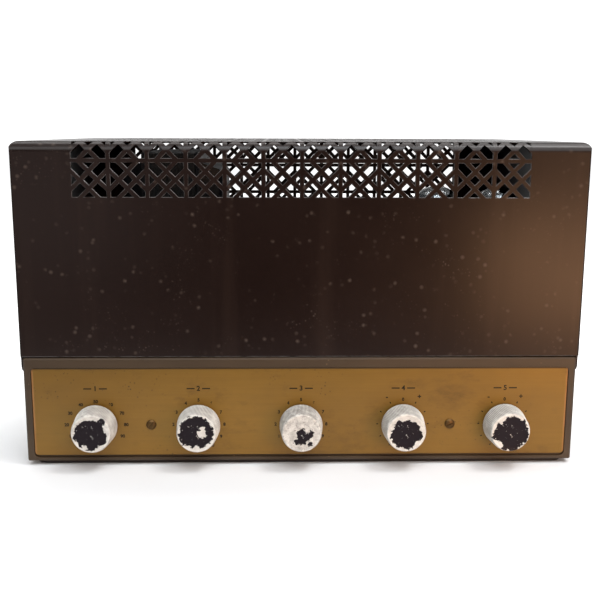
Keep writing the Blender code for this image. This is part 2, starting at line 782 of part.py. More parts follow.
def make_knob(index, name):
    base, face = KNOB_BASE_DIAMETER / 2, KNOB_FACE_DIAMETER / 2
    hollow_end, bore_end = knob_depths()
    at = (control_x(index), KNOB_BACK, CONTROL_HEIGHT)
    profile = [
        (0, KNOB_LENGTH), (face - KNOB_EDGE, KNOB_LENGTH), (face, KNOB_LENGTH - KNOB_EDGE),
        (base, 0), (0, 0),
    ]
    bore = SHAFT_RADIUS + FIT
    hollow = NUT_RADIUS / math.cos(math.pi / 6) + OVERRUN
    cutter_profile = [
        (0, bore_end), (bore, bore_end), (bore, hollow_end), (hollow, hollow_end),
        (hollow, -OVERRUN), (0, -OVERRUN),
    ]
    knob = turned(f"knob_{name}", profile, KNOB_FACETS, at, TURN_TO_FRONT, "knob_plastic")
    cut(knob, turned(f"bore_{name}", cutter_profile, 12, at, TURN_TO_FRONT))


def shaft_back(name):
    """How far a control's shaft runs back from the apron's inner face."""
    if name == "selector":
        return FIT + INDEX_DEPTH + 2 * WAFER_SPACING + WAFER_THICKNESS
    return POT_DEPTH - CHASSIS_SHEET


def make_shaft(index, name):
    _, bore_end = knob_depths()
    front = KNOB_BACK - bore_end + FIT
    back = APRON_INSIDE + shaft_back(name)
    at = (control_x(index), APRON_INSIDE, CONTROL_HEIGHT)
    ends = ((0, 0, APRON_INSIDE - back), (0, 0, APRON_INSIDE - front))
    shaft = rods(f"shaft_{name}", [ends], SHAFT_RADIUS, 12, at, TURN_TO_FRONT, "plated_steel")
    low = (at[0] - SHAFT_DIAMETER, front - OVERRUN, at[2] + SHAFT_RADIUS - SHAFT_FLAT)
    high = (at[0] + SHAFT_DIAMETER, KNOB_BACK - KNOB_HOLLOW, at[2] + SHAFT_DIAMETER)
    cut(shaft, box(f"flat_{name}", low, high))


def bushing_profile():
    """The threaded bushing and its nut, from its bore round to the apron's inner face."""
    bore, bushing = SHAFT_RADIUS + FIT, BUSHING_DIAMETER / 2
    panel = APRON_INSIDE - PANEL_FACE
    return [
        (bore, panel + BUSHING_REACH), (bushing, panel + BUSHING_REACH),
        (bushing, panel + FIT + NUT_THICKNESS), (NUT_RADIUS, panel + FIT + NUT_THICKNESS),
        (NUT_RADIUS, panel + FIT), (bushing, panel + FIT), (bushing, -FIT),
    ]


def make_pot(index, name):
    bore = SHAFT_RADIUS + FIT
    can = POT_DIAMETER / 2
    blind = -shaft_back(name) - FIT
    profile = [
        (0, blind), (bore, blind), *bushing_profile(),
        (can, -FIT), (can, -FIT - POT_DEPTH), (0, -FIT - POT_DEPTH),
    ]
    at = (control_x(index), APRON_INSIDE, CONTROL_HEIGHT)
    turned(f"pot_{name}", profile, 12, at, TURN_TO_FRONT, "plated_steel")


def wafer_depths():
    """The front faces of the two wafers, back from the apron's inner face."""
    return [FIT + INDEX_DEPTH + WAFER_SPACING * i - WAFER_THICKNESS / 2 for i in (1, 2)]


def make_selector():
    at = (control_x(0), APRON_INSIDE, CONTROL_HEIGHT)
    bore = SHAFT_RADIUS + FIT
    index_radius = WAFER_DIAMETER / 2
    back = -FIT - INDEX_DEPTH
    profile = [*bushing_profile(), (index_radius, -FIT), (index_radius, back), (bore, back)]
    frame = turned("selector_frame", profile, 12, at, TURN_TO_FRONT, "plated_steel", ring=True)
    rod_end = -wafer_depths()[1] - WAFER_THICKNESS - ROD_DIAMETER
    runs = [((side * ROD_SPAN / 2, 0, back + FIT), (side * ROD_SPAN / 2, 0, rod_end)) for side in (-1, 1)]
    ear = ROD_SPAN / 2 + EAR_WIDTH / 2
    ears = box(
        "index_ears",
        (at[0] - ear, at[1] + FIT + INDEX_DEPTH / 2, at[2] - EAR_WIDTH / 2),
        (at[0] + ear, at[1] + FIT + INDEX_DEPTH, at[2] + EAR_WIDTH / 2),
    )
    shaft_way = rods("index_bore", [((0, 0, back - OVERRUN), (0, 0, 0))], bore, 12, at, TURN_TO_FRONT)
    join(frame, ears, rods("selector_rods", runs, ROD_DIAMETER / 2, 8, at, TURN_TO_FRONT))
    cut(frame, shaft_way)
    for depth, word in zip(wafer_depths(), ("front", "rear")):
        make_wafer(word, at, depth)


def make_wafer(word, at, depth):
    """A fixed wafer on the two rods, and the rotor that turns in its hole with the shaft."""
    front = at[1] + depth
    seat = (at[0], front + WAFER_THICKNESS / 2, at[2])
    half = WAFER_THICKNESS / 2
    ear = ROD_SPAN / 2 + EAR_WIDTH / 2
    ring = [
        (WAFER_HOLE / 2, half), (WAFER_DIAMETER / 2, half),
        (WAFER_DIAMETER / 2, -half), (WAFER_HOLE / 2, -half),
    ]
    wafer = turned(f"selector_wafer_{word}", ring, 12, seat, TURN_TO_FRONT, "phenolic", ring=True)
    hole = WAFER_HOLE / 2
    for side in (-1, 1):
        near, far = sorted((seat[0] + side * (hole + OVERRUN), seat[0] + side * ear))
        low = (near, front, at[2] - EAR_WIDTH / 2)
        high = (far, front + WAFER_THICKNESS, at[2] + EAR_WIDTH / 2)
        join(wafer, box(f"wafer_ear_{word}_{side}", low, high))
    runs = [
        ((side * ROD_SPAN / 2, 0, -half - OVERRUN), (side * ROD_SPAN / 2, 0, half + OVERRUN))
        for side in (-1, 1)
    ]
    cut(wafer, rods(f"wafer_holes_{word}", runs, ROD_DIAMETER / 2 + FIT, 8, seat, TURN_TO_FRONT))
    inner, outer = SHAFT_RADIUS + FIT, WAFER_HOLE / 2 * math.cos(math.pi / 12) - FIT
    disc = [(inner, half), (outer, half), (outer, -half), (inner, -half)]
    turned(f"selector_rotor_{word}", disc, 12, seat, TURN_TO_FRONT, "phenolic", ring=True)


def make_controls():
    for index, name in enumerate(CONTROLS):
        make_knob(index, name)
        make_shaft(index, name)
        if name == "selector":
            make_selector()
        else:
            make_pot(index, name)


# On the deck


def bell(name, side, at, stack, depth, height, throw):
    """One drawn end bell, on the left or right face of its stack, with its foot."""
    face = stack / 2 + FIT
    bm = bmesh.new()
    low = (face, -depth / 2, 0)
    add_box(bm, low, (face + TRANSFORMER_SHEET, depth / 2, height))
    outer = max(bm.faces, key=lambda item: item.calc_center_median().x)
    bmesh.ops.inset_region(bm, faces=[outer], thickness=BELL_RIM, use_even_offset=True)
    for reach, taper in (
        (throw - TRANSFORMER_SHEET - BELL_ROUND, BELL_TAPER),
        (BELL_ROUND, BELL_ROUND),
    ):
        moved = bmesh.ops.extrude_discrete_faces(bm, faces=[outer])["faces"][0]
        bmesh.ops.translate(bm, verts=moved.verts, vec=(reach, 0, 0))
        middle = moved.calc_center_median()
        for vert in moved.verts:
            vert.co.y -= math.copysign(taper, vert.co.y - middle.y)
            vert.co.z -= math.copysign(taper, vert.co.z - middle.z)
        outer = moved
    for vert in bm.verts:
        vert.co.x *= side
    seat = (at[0], at[1], at[2] + FIT)
    made = from_bmesh(name, bm, seat, UPRIGHT, "bell_enamel")
    foot_low, foot_high = sorted((side * face, side * (face + throw + FOOT_REACH)))
    foot = box(
        f"{name}_foot",
        (foot_low, BELL_RIM - depth / 2, 0),
        (foot_high, depth / 2 - BELL_RIM, TRANSFORMER_SHEET),
        seat,
    )
    join(made, foot)


def make_transformer(name, shares, stack, throw, depth, height):
    at = on_chassis(shares, DECK_TOP)
    core = box(
        f"{name}_core",
        (-stack / 2, -depth / 2, TRANSFORMER_SHEET),
        (stack / 2, depth / 2, height),
        (at[0], at[1], at[2] + FIT),
        "lamination",
    )
    core.modifiers.new("worn edges", "BEVEL").width = TRANSFORMER_SHEET / 2
    core.modifiers["worn edges"].segments = 1
    for side, word in ((-1, "left"), (1, "right")):
        bell(f"{name}_bell_{word}", side, at, stack, depth, height, throw)


def glass(name, outline, diameter, height, at, facets):
    profile = [(r * diameter / 2, h * height) for r, h in outline]
    turned(name, profile, facets, at, UPRIGHT, "valve_glass")


def make_octal_valve(name, shares, outline, diameter, height):
    seat = DECK_TOP + SOCKET_LIP + FIT
    base = OCTAL_BASE_DIAMETER / 2
    spigot = SPIGOT_DIAMETER / 2
    profile = [
        (0, OCTAL_BASE_HEIGHT), (base, OCTAL_BASE_HEIGHT), (base, 0),
        (spigot, 0), (spigot, -SPIGOT_LENGTH), (0, -SPIGOT_LENGTH),
    ]
    turned(f"{name}_base", profile, 12, on_chassis(shares, seat), UPRIGHT, "black_bakelite")
    foot = on_chassis(shares, seat + OCTAL_BASE_HEIGHT + FIT)
    glass(f"{name}_glass", outline, diameter, height, foot, 12)
    bore = spigot + FIT
    make_socket(f"{name}_socket", shares, OCTAL_SOCKET_DIAMETER, OCTAL_SADDLE_DIAMETER, 12, bore)


def make_socket(name, shares, diameter, saddle_diameter, facets, bore=0):
    """A socket: its moulding fills the deck's hole and its saddle lies under the deck."""
    body, saddle = diameter / 2, saddle_diameter / 2
    under = DECK_UNDERSIDE - FIT
    outer = [
        (body, DECK_TOP + SOCKET_LIP), (body, under), (saddle, under),
        (saddle, under - SADDLE_SHEET), (body, under - SADDLE_SHEET), (body, under - SOCKET_DROP),
    ]
    first, last = (bore, outer[0][1]), (bore, outer[-1][1])
    profile = [first, *outer, last]
    at = on_chassis(shares)
    turned(name, profile, facets, at, UPRIGHT, "black_bakelite", ring=bore > 0)


def make_valves():
    make_octal_valve(
        "rectifier", RECTIFIER_PLACE_SHARE, RECTIFIER_OUTLINE_SHARES,
        RECTIFIER_DIAMETER, RECTIFIER_GLASS_HEIGHT,
    )
    for number, shares in enumerate(OUTPUT_VALVE_SHARES, 1):
        make_octal_valve(
            f"output_valve_{number}", shares, OUTPUT_OUTLINE_SHARES,
            OUTPUT_VALVE_DIAMETER, OUTPUT_GLASS_HEIGHT,
        )
    for number, shares in enumerate(small_valve_shares(), 1):
        foot = on_chassis(shares, DECK_TOP + SOCKET_LIP + FIT)
        outline, size = SMALL_OUTLINE_SHARES, SMALL_VALVE_DIAMETER
        glass(f"small_valve_{number}", outline, size, SMALL_VALVE_HEIGHT, foot, 10)
        make_socket(
            f"small_valve_{number}_socket", shares, SMALL_SOCKET_DIAMETER, SMALL_SADDLE_DIAMETER, 8
        )


def make_cans():
    can, stub = CAN_DIAMETER / 2, CAN_STUB_DIAMETER / 2
    profile = [
        (0, CAN_HEIGHT), (can - CAN_BEAD, CAN_HEIGHT), (can, CAN_HEIGHT - CAN_BEAD), (can, 0),
        (stub, 0), (stub, -CHASSIS_SHEET - CAN_STUB_DROP), (0, -CHASSIS_SHEET - CAN_STUB_DROP),
    ]
    for number, shares in enumerate(CAN_SHARES, 1):
        seat = on_chassis(shares, DECK_TOP + FIT)
        turned(f"filter_can_{number}", profile, 12, seat, UPRIGHT, "can_aluminium")


# Rear apron and under the deck


def make_connector_strip(name, share, half_size, count, pitch, diameter, reach):
    """A flat strip on the rear apron with a row of round posts on its outer face."""
    middle = share * CHASSIS_WIDTH
    half_width, half_height = half_size
    front = REAR_FACE + FIT
    face = front + STRIP_THICKNESS
    strip = box(
        name,
        (middle - half_width, front, REAR_HEIGHT - half_height),
        (middle + half_width, face, REAR_HEIGHT + half_height),
        finish="phenolic",
    )
    centres = [middle + (i - (count - 1) / 2) * pitch for i in range(count)]
    inside = REAR_FACE - CHASSIS_SHEET - STRIP_THICKNESS
    runs = [((x, inside, REAR_HEIGHT), (x, face + reach, REAR_HEIGHT)) for x in centres]
    join(strip, rods(f"{name}_posts", runs, diameter / 2, 8))
    return strip, centres, face + reach


def make_input_jacks():
    strip, centres, end = make_connector_strip(
        "input_jack_strip", JACK_PLACE_SHARE, jack_strip_size(),
        JACK_COUNT, JACK_PITCH, JACK_DIAMETER, JACK_REACH,
    )
    runs = [((x, end - JACK_REACH, REAR_HEIGHT), (x, end + OVERRUN, REAR_HEIGHT)) for x in centres]
    cut(strip, rods("jack_bores", runs, JACK_BORE / 2, 6))


def make_speaker_terminals():
    strip, centres, end = make_connector_strip(
        "speaker_terminals", TERMINAL_PLACE_SHARE, terminal_strip_size(),
        TERMINAL_COUNT, TERMINAL_PITCH, TERMINAL_DIAMETER, TERMINAL_REACH,
    )
    slots = bmesh.new()
    half, reach = PANEL_SCREW_SLOT / 2, TERMINAL_DIAMETER
    for x in centres:
        low = (x - reach / 2 - FIT, end - PANEL_SCREW_SLOT, REAR_HEIGHT - half)
        add_box(slots, low, (x + reach / 2 + FIT, end + OVERRUN, REAR_HEIGHT + half))
    cut(strip, from_bmesh("terminal_slots", slots))


def make_outlets():
    for number, share in enumerate(OUTLET_PLACE_SHARES, 1):
        x = share * CHASSIS_WIDTH
        front = REAR_FACE + FIT
        face = front + OUTLET_FLANGE
        half_width, half_height = OUTLET_WIDTH / 2, OUTLET_HEIGHT / 2
        outlet = box(
            f"ac_outlet_{number}",
            (x - half_width, front, REAR_HEIGHT - half_height),
            (x + half_width, face, REAR_HEIGHT + half_height),
            finish="black_bakelite",
        )
        reach, rise = half_width * OUTLET_BODY_SHARE, half_height * OUTLET_BODY_SHARE
        body = box(
            f"outlet_body_{number}",
            (x - reach, front - OUTLET_BODY_DEPTH, REAR_HEIGHT - rise),
            (x + reach, front + OUTLET_FLANGE / 2, REAR_HEIGHT + rise),
        )
        slots = bmesh.new()
        for side in (-1, 1):
            middle = x + side * OUTLET_SLOT_GAP / 2
            low = (middle - OUTLET_SLOT_WIDTH / 2, front, REAR_HEIGHT - OUTLET_SLOT_HEIGHT / 2)
            high = (
                middle + OUTLET_SLOT_WIDTH / 2,
                face + OVERRUN,
                REAR_HEIGHT + OUTLET_SLOT_HEIGHT / 2,
            )
            add_box(slots, low, high)
        join(outlet, body)
        cut(outlet, from_bmesh(f"outlet_slots_{number}", slots))


def make_fuse():
    """The fuse holder's body, open at the back of the apron, and its screw-in cap."""
    at = (FUSE_PLACE_SHARE * CHASSIS_WIDTH, REAR_FACE, REAR_HEIGHT)
    body, flange, plug = FUSE_BODY_DIAMETER / 2, FUSE_FLANGE_DIAMETER / 2, FUSE_PLUG_DIAMETER / 2
    mouth = FIT + FUSE_FLANGE
    blind = mouth - FUSE_PLUG_LENGTH - 2 * FIT
    profile = [
        (0, blind), (plug + FIT, blind), (plug + FIT, mouth), (flange, mouth),
        (flange, FIT), (body, FIT), (body, -FUSE_BODY_DEPTH), (0, -FUSE_BODY_DEPTH),
    ]
    turned("fuse_holder", profile, 12, at, TURN_TO_REAR, "black_bakelite")
    cap = FUSE_CAP_DIAMETER / 2
    seat = mouth + FIT
    cap_profile = [
        (0, seat + FUSE_CAP_LENGTH), (cap - KNOB_EDGE, seat + FUSE_CAP_LENGTH),
        (cap, seat + FUSE_CAP_LENGTH - KNOB_EDGE), (cap, seat),
        (plug, seat), (plug, mouth - FUSE_PLUG_LENGTH), (0, mouth - FUSE_PLUG_LENGTH),
    ]
    turned("fuse_cap", cap_profile, 12, at, TURN_TO_REAR, "black_bakelite")


def make_grommet():
    at = (GROMMET_PLACE_SHARE * CHASSIS_WIDTH, REAR_FACE, REAR_HEIGHT)
    bore, neck, lip = GROMMET_BORE / 2, GROMMET_HOLE / 2, GROMMET_DIAMETER / 2
    inside = -CHASSIS_SHEET - FIT
    profile = [
        (bore, FIT + GROMMET_LIP), (lip, FIT + GROMMET_LIP), (lip, FIT), (neck, FIT),
        (neck, inside), (lip, inside), (lip, inside - GROMMET_LIP), (bore, inside - GROMMET_LIP),
    ]
    turned("cord_grommet", profile, 12, at, TURN_TO_REAR, "grommet_rubber", ring=True)


def make_tag_strips():
    """Comb-shaped strips that hang from the deck on a foot at their middle."""
    half = TAG_COUNT * TAG_PITCH / 2
    top = DECK_UNDERSIDE - FIT - TAG_FOOT_DROP
    low = top - TAG_STRIP_HEIGHT
    foot = TAG_WIDTH
    outline = [(-foot, top), (-foot, top + TAG_FOOT_DROP), (foot, top + TAG_FOOT_DROP), (foot, top)]
    outline += [(half, top), (half, low)]
    for i in reversed(range(TAG_COUNT)):
        middle = (i - (TAG_COUNT - 1) / 2) * TAG_PITCH
        right, left = middle + TAG_WIDTH / 2, middle - TAG_WIDTH / 2
        outline += [(right, low), (right, low - TAG_LENGTH), (left, low - TAG_LENGTH), (left, low)]
    outline += [(-half, low), (-half, top)]
    for number, shares in enumerate(TAG_STRIP_SHARES, 1):
        x, y, _ = on_chassis(shares)
        bm = bmesh.new()
        face = bm.faces.new([bm.verts.new((x + along, y, z)) for along, z in outline])
        made = bmesh.ops.extrude_face_region(bm, geom=[face])["geom"]
        moved = [item for item in made if isinstance(item, bmesh.types.BMVert)]
        bmesh.ops.translate(bm, verts=moved, vec=(0, TAG_STRIP_THICKNESS, 0))
        from_bmesh(f"tag_strip_{number}", bm, finish="phenolic")


make_cover()
make_chassis()
make_front_panel()
make_bottom_pan()
make_panel_screws()
make_controls()
make_transformer(
    "power_transformer", POWER_PLACE_SHARE, POWER_STACK, POWER_BELL, POWER_DEPTH, POWER_HEIGHT
)
make_transformer(
    "output_transformer", OUTPUT_PLACE_SHARE, OUTPUT_STACK, OUTPUT_BELL, OUTPUT_DEPTH, OUTPUT_HEIGHT
)
make_valves()
make_cans()
make_input_jacks()
make_speaker_terminals()
make_outlets()
make_fuse()
make_grommet()
make_tag_strips()
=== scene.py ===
"""The looks of a valve amplifier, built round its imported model.

The cover gets its full lattice, the knobs their knurls and flaking paint, the panel
its scales, and the valves what is inside their glass. Everything is in metres.
"""

import json
import math

import bmesh
import bpy
from mathutils import Matrix, Vector


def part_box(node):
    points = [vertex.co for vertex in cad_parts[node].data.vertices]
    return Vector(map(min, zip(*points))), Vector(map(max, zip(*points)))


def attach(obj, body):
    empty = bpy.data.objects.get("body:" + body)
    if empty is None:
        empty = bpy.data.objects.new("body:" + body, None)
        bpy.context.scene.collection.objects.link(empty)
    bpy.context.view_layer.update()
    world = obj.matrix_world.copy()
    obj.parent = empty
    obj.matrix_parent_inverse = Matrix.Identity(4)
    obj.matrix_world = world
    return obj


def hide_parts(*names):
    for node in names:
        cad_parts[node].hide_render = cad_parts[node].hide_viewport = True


MM = 0.001
BODY = "amplifier"

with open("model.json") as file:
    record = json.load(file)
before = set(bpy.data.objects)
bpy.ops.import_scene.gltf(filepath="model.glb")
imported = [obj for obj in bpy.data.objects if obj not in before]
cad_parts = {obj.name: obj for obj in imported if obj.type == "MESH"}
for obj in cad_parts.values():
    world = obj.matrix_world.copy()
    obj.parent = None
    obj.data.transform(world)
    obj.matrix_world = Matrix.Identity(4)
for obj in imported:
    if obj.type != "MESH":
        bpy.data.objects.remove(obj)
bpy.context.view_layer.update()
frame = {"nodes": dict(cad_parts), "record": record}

# Camera, as the photograph's lens and place
CAMERA_PLACE = (-0.01525, -0.67347, 0.22935)
CAMERA_YAW = math.radians(-1.1257)
CAMERA_PITCH = math.radians(10.1372)
CAMERA_ROLL = math.radians(0.1769)
CAMERA_LENS = 49.816
CAMERA_SHIFT = (0.00838, -0.0342)
SENSOR_WIDTH = 36
CLIPPING = (0.01, 50)

# The cover and its lattice
COVER_LOW, COVER_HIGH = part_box("cover")
DECK_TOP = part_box("chassis")[1].z
SHEET = 1.2 * MM
BEND_RADIUS = 7 * MM
END_RADIUS = 5 * MM
CORNER_RADIUS = 1.5 * MM
BEND_FACETS = 8
COVER_GAP = 0.7 * MM
SKIRT_ROUND = 5 * MM
SKIRT_INSET = 1 * MM
CELL = 25.4 * MM
LATTICE_END_MARGIN = 38.6 * MM
LATTICE_FRONT_DROP = 37.7 * MM
LATTICE_REAR_DROP = 74 * MM
BAR_WIDTH = 3 * MM
SLOT_WIDTH = 5.1 * MM
DIAGONAL_WIDTH = 3.3 * MM
DIAMOND_SIDE = 4.6 * MM
RIM_CHAMFER = 0.35 * MM
RIM_ANGLE = math.radians(60)
FLATNESS = 0.02 * MM

# What cuts, holes and smooth surfaces share
OVERRUN = 1.5 * MM
FIT = 0.3 * MM
ROUND_FACETS = 40
NODE_SHARP_ANGLE = math.radians(32)

# The front panel and its controls
CONTROLS = ("selector", "level", "loudness", "bass", "treble")
NUMBERED = ("level", "loudness")
PANEL_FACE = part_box("front_panel")[0].y
PANEL_SCREWS = ("panel_screw_left", "panel_screw_right")
PANEL_RAISE = 1.3 * MM
PLATE_EDGE = 0.25 * MM
PLATE_EDGE_ANGLE = math.radians(50)
PLATE_CORNER = 2.5 * MM
# How far from the plate's ends its painted coppery highlight begins, and where it is full
END_GLINT = (1.6 * MM, 0.4 * MM)
# How far below the plate's top its painted shadow under the frame's lip begins, and where it is full
LIP_SHADOW = (1.3 * MM, 0.5 * MM)
# How far above the plate's foot it begins to grow darker
FOOT_DARKENING = 3.5 * MM
SCREW_SHANK = 1.4 * MM
SLOT_CUT = 0.9 * MM
SLOT_DEPTH = 0.8 * MM
SLOT_TURNS = (math.radians(55), math.radians(20))
PRINT_THICKNESS = 0.03 * MM
PRINT_WEIGHT = 0.13 * MM
AXIS_HEIGHT = 29.2 * MM
SCALE_RADIUS = 17.6 * MM
SELECTOR_RADII = (20.5 * MM, 16.6 * MM)
SIGN_RADIUS = 22.5 * MM
DIGIT_SIZE = 3.1 * MM
TITLE_SIZE = 4.8 * MM
TITLE_HEIGHT = 55 * MM
RULE_LENGTH = 5.5 * MM
RULE_GAP = 2.6 * MM
RULE_WIDTH = 0.8 * MM
TICK_LENGTH = 1.3 * MM
TICK_WIDTH = 0.7 * MM
SCALE_STEP = 30
SCALE_MARKS = 11
SELECTOR_MARKS = 9

# Knobs
KNOB_LOW, KNOB_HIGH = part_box("knob_level")
KNOB_LENGTH = KNOB_HIGH.y - KNOB_LOW.y
KNOB_BASE = (KNOB_HIGH.x - KNOB_LOW.x) / 2
KNOB_FACE = 13.25 * MM
KNOB_FLARE = 0.3 * MM
KNOB_FOOT = 0.9 * MM
KNOB_RIM = 1.1 * MM
KNOB_LIP = 2.4 * MM
KNOB_DISH = 0.35 * MM
KNURLS = 94
KNURL_DEPTH = 0.42 * MM
PAINT_THICKNESS = 0.12 * MM
PAINT_END = KNOB_LENGTH - 1.3 * MM
PAINT_FADE = 0.6 * MM

# The lip from the knob's side to its dish, as shares of its width and of the dish's depth
LIP_SHARES = ((0.1875, 0.3429), (0.4167, 0), (0.6667, 0.5714), (1, 1))

# How far bare patches stray from round, coarse and fine, and how soft their edges are, in mm
PATCH_WANDER = 7
PATCH_RAGGEDNESS = 5
PATCH_SOFTNESS = 0.35

# Where each knob's dark face shows: (x, y, radius) in mm, y up, negative where paint stays
PATCHES = {
    "selector": (
        (-0.5, -0.8, 10.8), (7, 8, 3), (0, 12.8, -3.2), (11.5, 3.5, -3),
        (-4.5, -9.5, -1.3), (5, -9, -1),
    ),
    "level": (
        (-0.5, 0.6, 11.8), (3.7, 3.6, -1.9), (3.3, 0.4, -2.7), (-6.5, -11.5, -3),
        (0, -12.8, -3.2), (6.5, -11.5, -2.4),
    ),
    "loudness": ((1.5, -2.5, 5.2), (5.5, -1, 3), (-3.5, -5.5, 2.2), (6, -7.5, 1.8), (3.5, 1.2, -1.4)),
    "bass": ((0, -1.2, 10.5), (8.5, -9, -3.2), (-2, 9.5, -1.6)),
    "treble": ((0.3, -0.6, 11.9), (-6, 9, -2.8), (-9.5, -8.5, -3.4)),
}

# How grubby the paint that is left looks: 0 for clean
GRUBBY = {"selector": 0.4, "loudness": 1.0, "bass": 0.3}

# Valves: outlines from the top down, as shares of the glass's radius and height
RECTIFIER_SHARES = (
    (0, 1), (0.3, 0.985), (0.52, 0.93), (0.6, 0.84), (0.74, 0.72),
    (1, 0.52), (0.95, 0.36), (0.62, 0.1), (0.56, 0.004),
)
OUTPUT_SHARES = ((0, 1), (0.45, 0.99), (0.85, 0.93), (0.99, 0.76), (1, 0.3), (0.88, 0.004))
SMALL_SHARES = ((0, 1), (0.16, 0.985), (0.22, 0.93), (0.75, 0.88), (1, 0.78), (1, 0.004))

# Anodes: the (offset, radius) of each, and their foot and top as shares of the glass's height
RECTIFIER_ANODES = (((-6.5 * MM, 5.5 * MM), (6.5 * MM, 5.5 * MM)), 0.32, 0.72)
OUTPUT_ANODES = (((0, 10 * MM),), 0.16, 0.74)
SMALL_ANODES = (((-4 * MM, 3.2 * MM), (4 * MM, 3.2 * MM)), 0.25, 0.68)
GLASS_WALL = 0.9 * MM
GLASS_FACETS = 48
MICA_OVERHANG = 1.2 * MM
MICA_GAP = 1 * MM
MICA_THICKNESS = 0.5 * MM
MICA_LIMIT_SHARE = 0.42
WIRE_RADIUS = 0.5 * MM
GETTER_THICKNESS = 0.15 * MM
GETTER_START_SHARE = 0.88
INNER_FACETS = 32

# Metal on the rear apron and the cover's rear
JACK_COUNT, JACK_PITCH, JACK_REACH = 6, 17 * MM, 8 * MM
TERMINAL_COUNT, TERMINAL_PITCH = 5, 13 * MM
JACK_RADIUS = 4.2 * MM
SLEEVE_WALL = 0.35 * MM
SLEEVE_CLEARANCE = 0.03 * MM
TERMINAL_RADIUS = 3.5 * MM
TERMINAL_HEAD = 1.6 * MM
COVER_SCREW_SHARE = 0.8
COVER_SCREW_HEIGHT = 6 * MM
COVER_SCREW_RADIUS = 3.2 * MM
COVER_SCREW_HEAD = 1.7 * MM
REAR_SLOT_SHARE = 0.45
TERMINAL_SLOT_TURN = 0.7
COVER_SLOT_TURN = 0.5

# Screw heads from the middle out, as shares of their radius and height
DOME_SHARES = ((0, 1), (0.5, 0.93), (0.8, 0.7), (0.98, 0.35), (1, 0.02))
LOW_DOME_SHARES = ((0, 1), (0.55, 0.92), (0.86, 0.66), (1, 0.2), (1, 0))

# The floor, which glows from one depth to another up to a strength
FLOOR_HALF = 6
FLOOR_FRONT = -0.33
FLOOR_DROP = 0.05 * MM
FLOOR_GLOW = (-0.13, 0.06, 0.72)

# Each light's place, target, size, power and colour
WHITE = (1, 1, 1)
LIGHTS = {
    "key": ((0.62, -0.42, 1.5), (0, -0.05, 0.05), (0.45, 0.45), 10.5, WHITE),
    "strip": ((0, 0.3, 1.4), (0, 0, 0.1), (1.9, 0.4), 10, WHITE),
    "ceiling": ((0, -0.95, 0.9), (0, -0.12, 0.2), (2.2, 0.5), 8.5, WHITE),
    "window": ((0.05, -0.65, 1.0), (0.01, -0.12, 0.21), (0.5, 0.4), 4, (0.86, 0.94, 1)),
    "back_wall": ((0, 2.6, 0.6), (0, 0, 0.25), (6, 0.9), 20, WHITE),
    "table_glow": ((0.31, -0.5, 0.067), (0.17, -0.125, 0.1), (0.16, 0.13), 0.6, (1, 0.52, 0.26)),
    "warm_wall": ((0.62, -0.95, 0.2), (0.2, -0.125, 0.15), (0.42, 0.36), 1.1, (1, 0.56, 0.32)),
    "left_card": ((-0.5, -1.1, 0.1), (-0.15, -0.12, 0.12), (0.45, 0.3), 0.4, (1, 0.85, 0.82)),
}

# How bright the room is, from low to high directions, and how bright the camera sees it
ROOM_LIGHT = {"From Min": 0.15, "From Max": 0.85, "To Min": 0.08, "To Max": 0.62}
ROOM_SEEN = 1.3

# How deep each surface's fine relief is
RELIEF = {
    "cover": 0.05 * MM, "frame": 0.04 * MM, "brass": 0.02 * MM, "metal": 0.03 * MM,
    "moulding": 0.02 * MM, "lamination": 0.15 * MM, "ink": 0.01 * MM,
}


# The Mix node's sockets for colours, since each kind of value has its own
MIX_SHARE, MIX_FIRST, MIX_SECOND, MIX_RESULT = 0, 6, 7, 2


# Materials


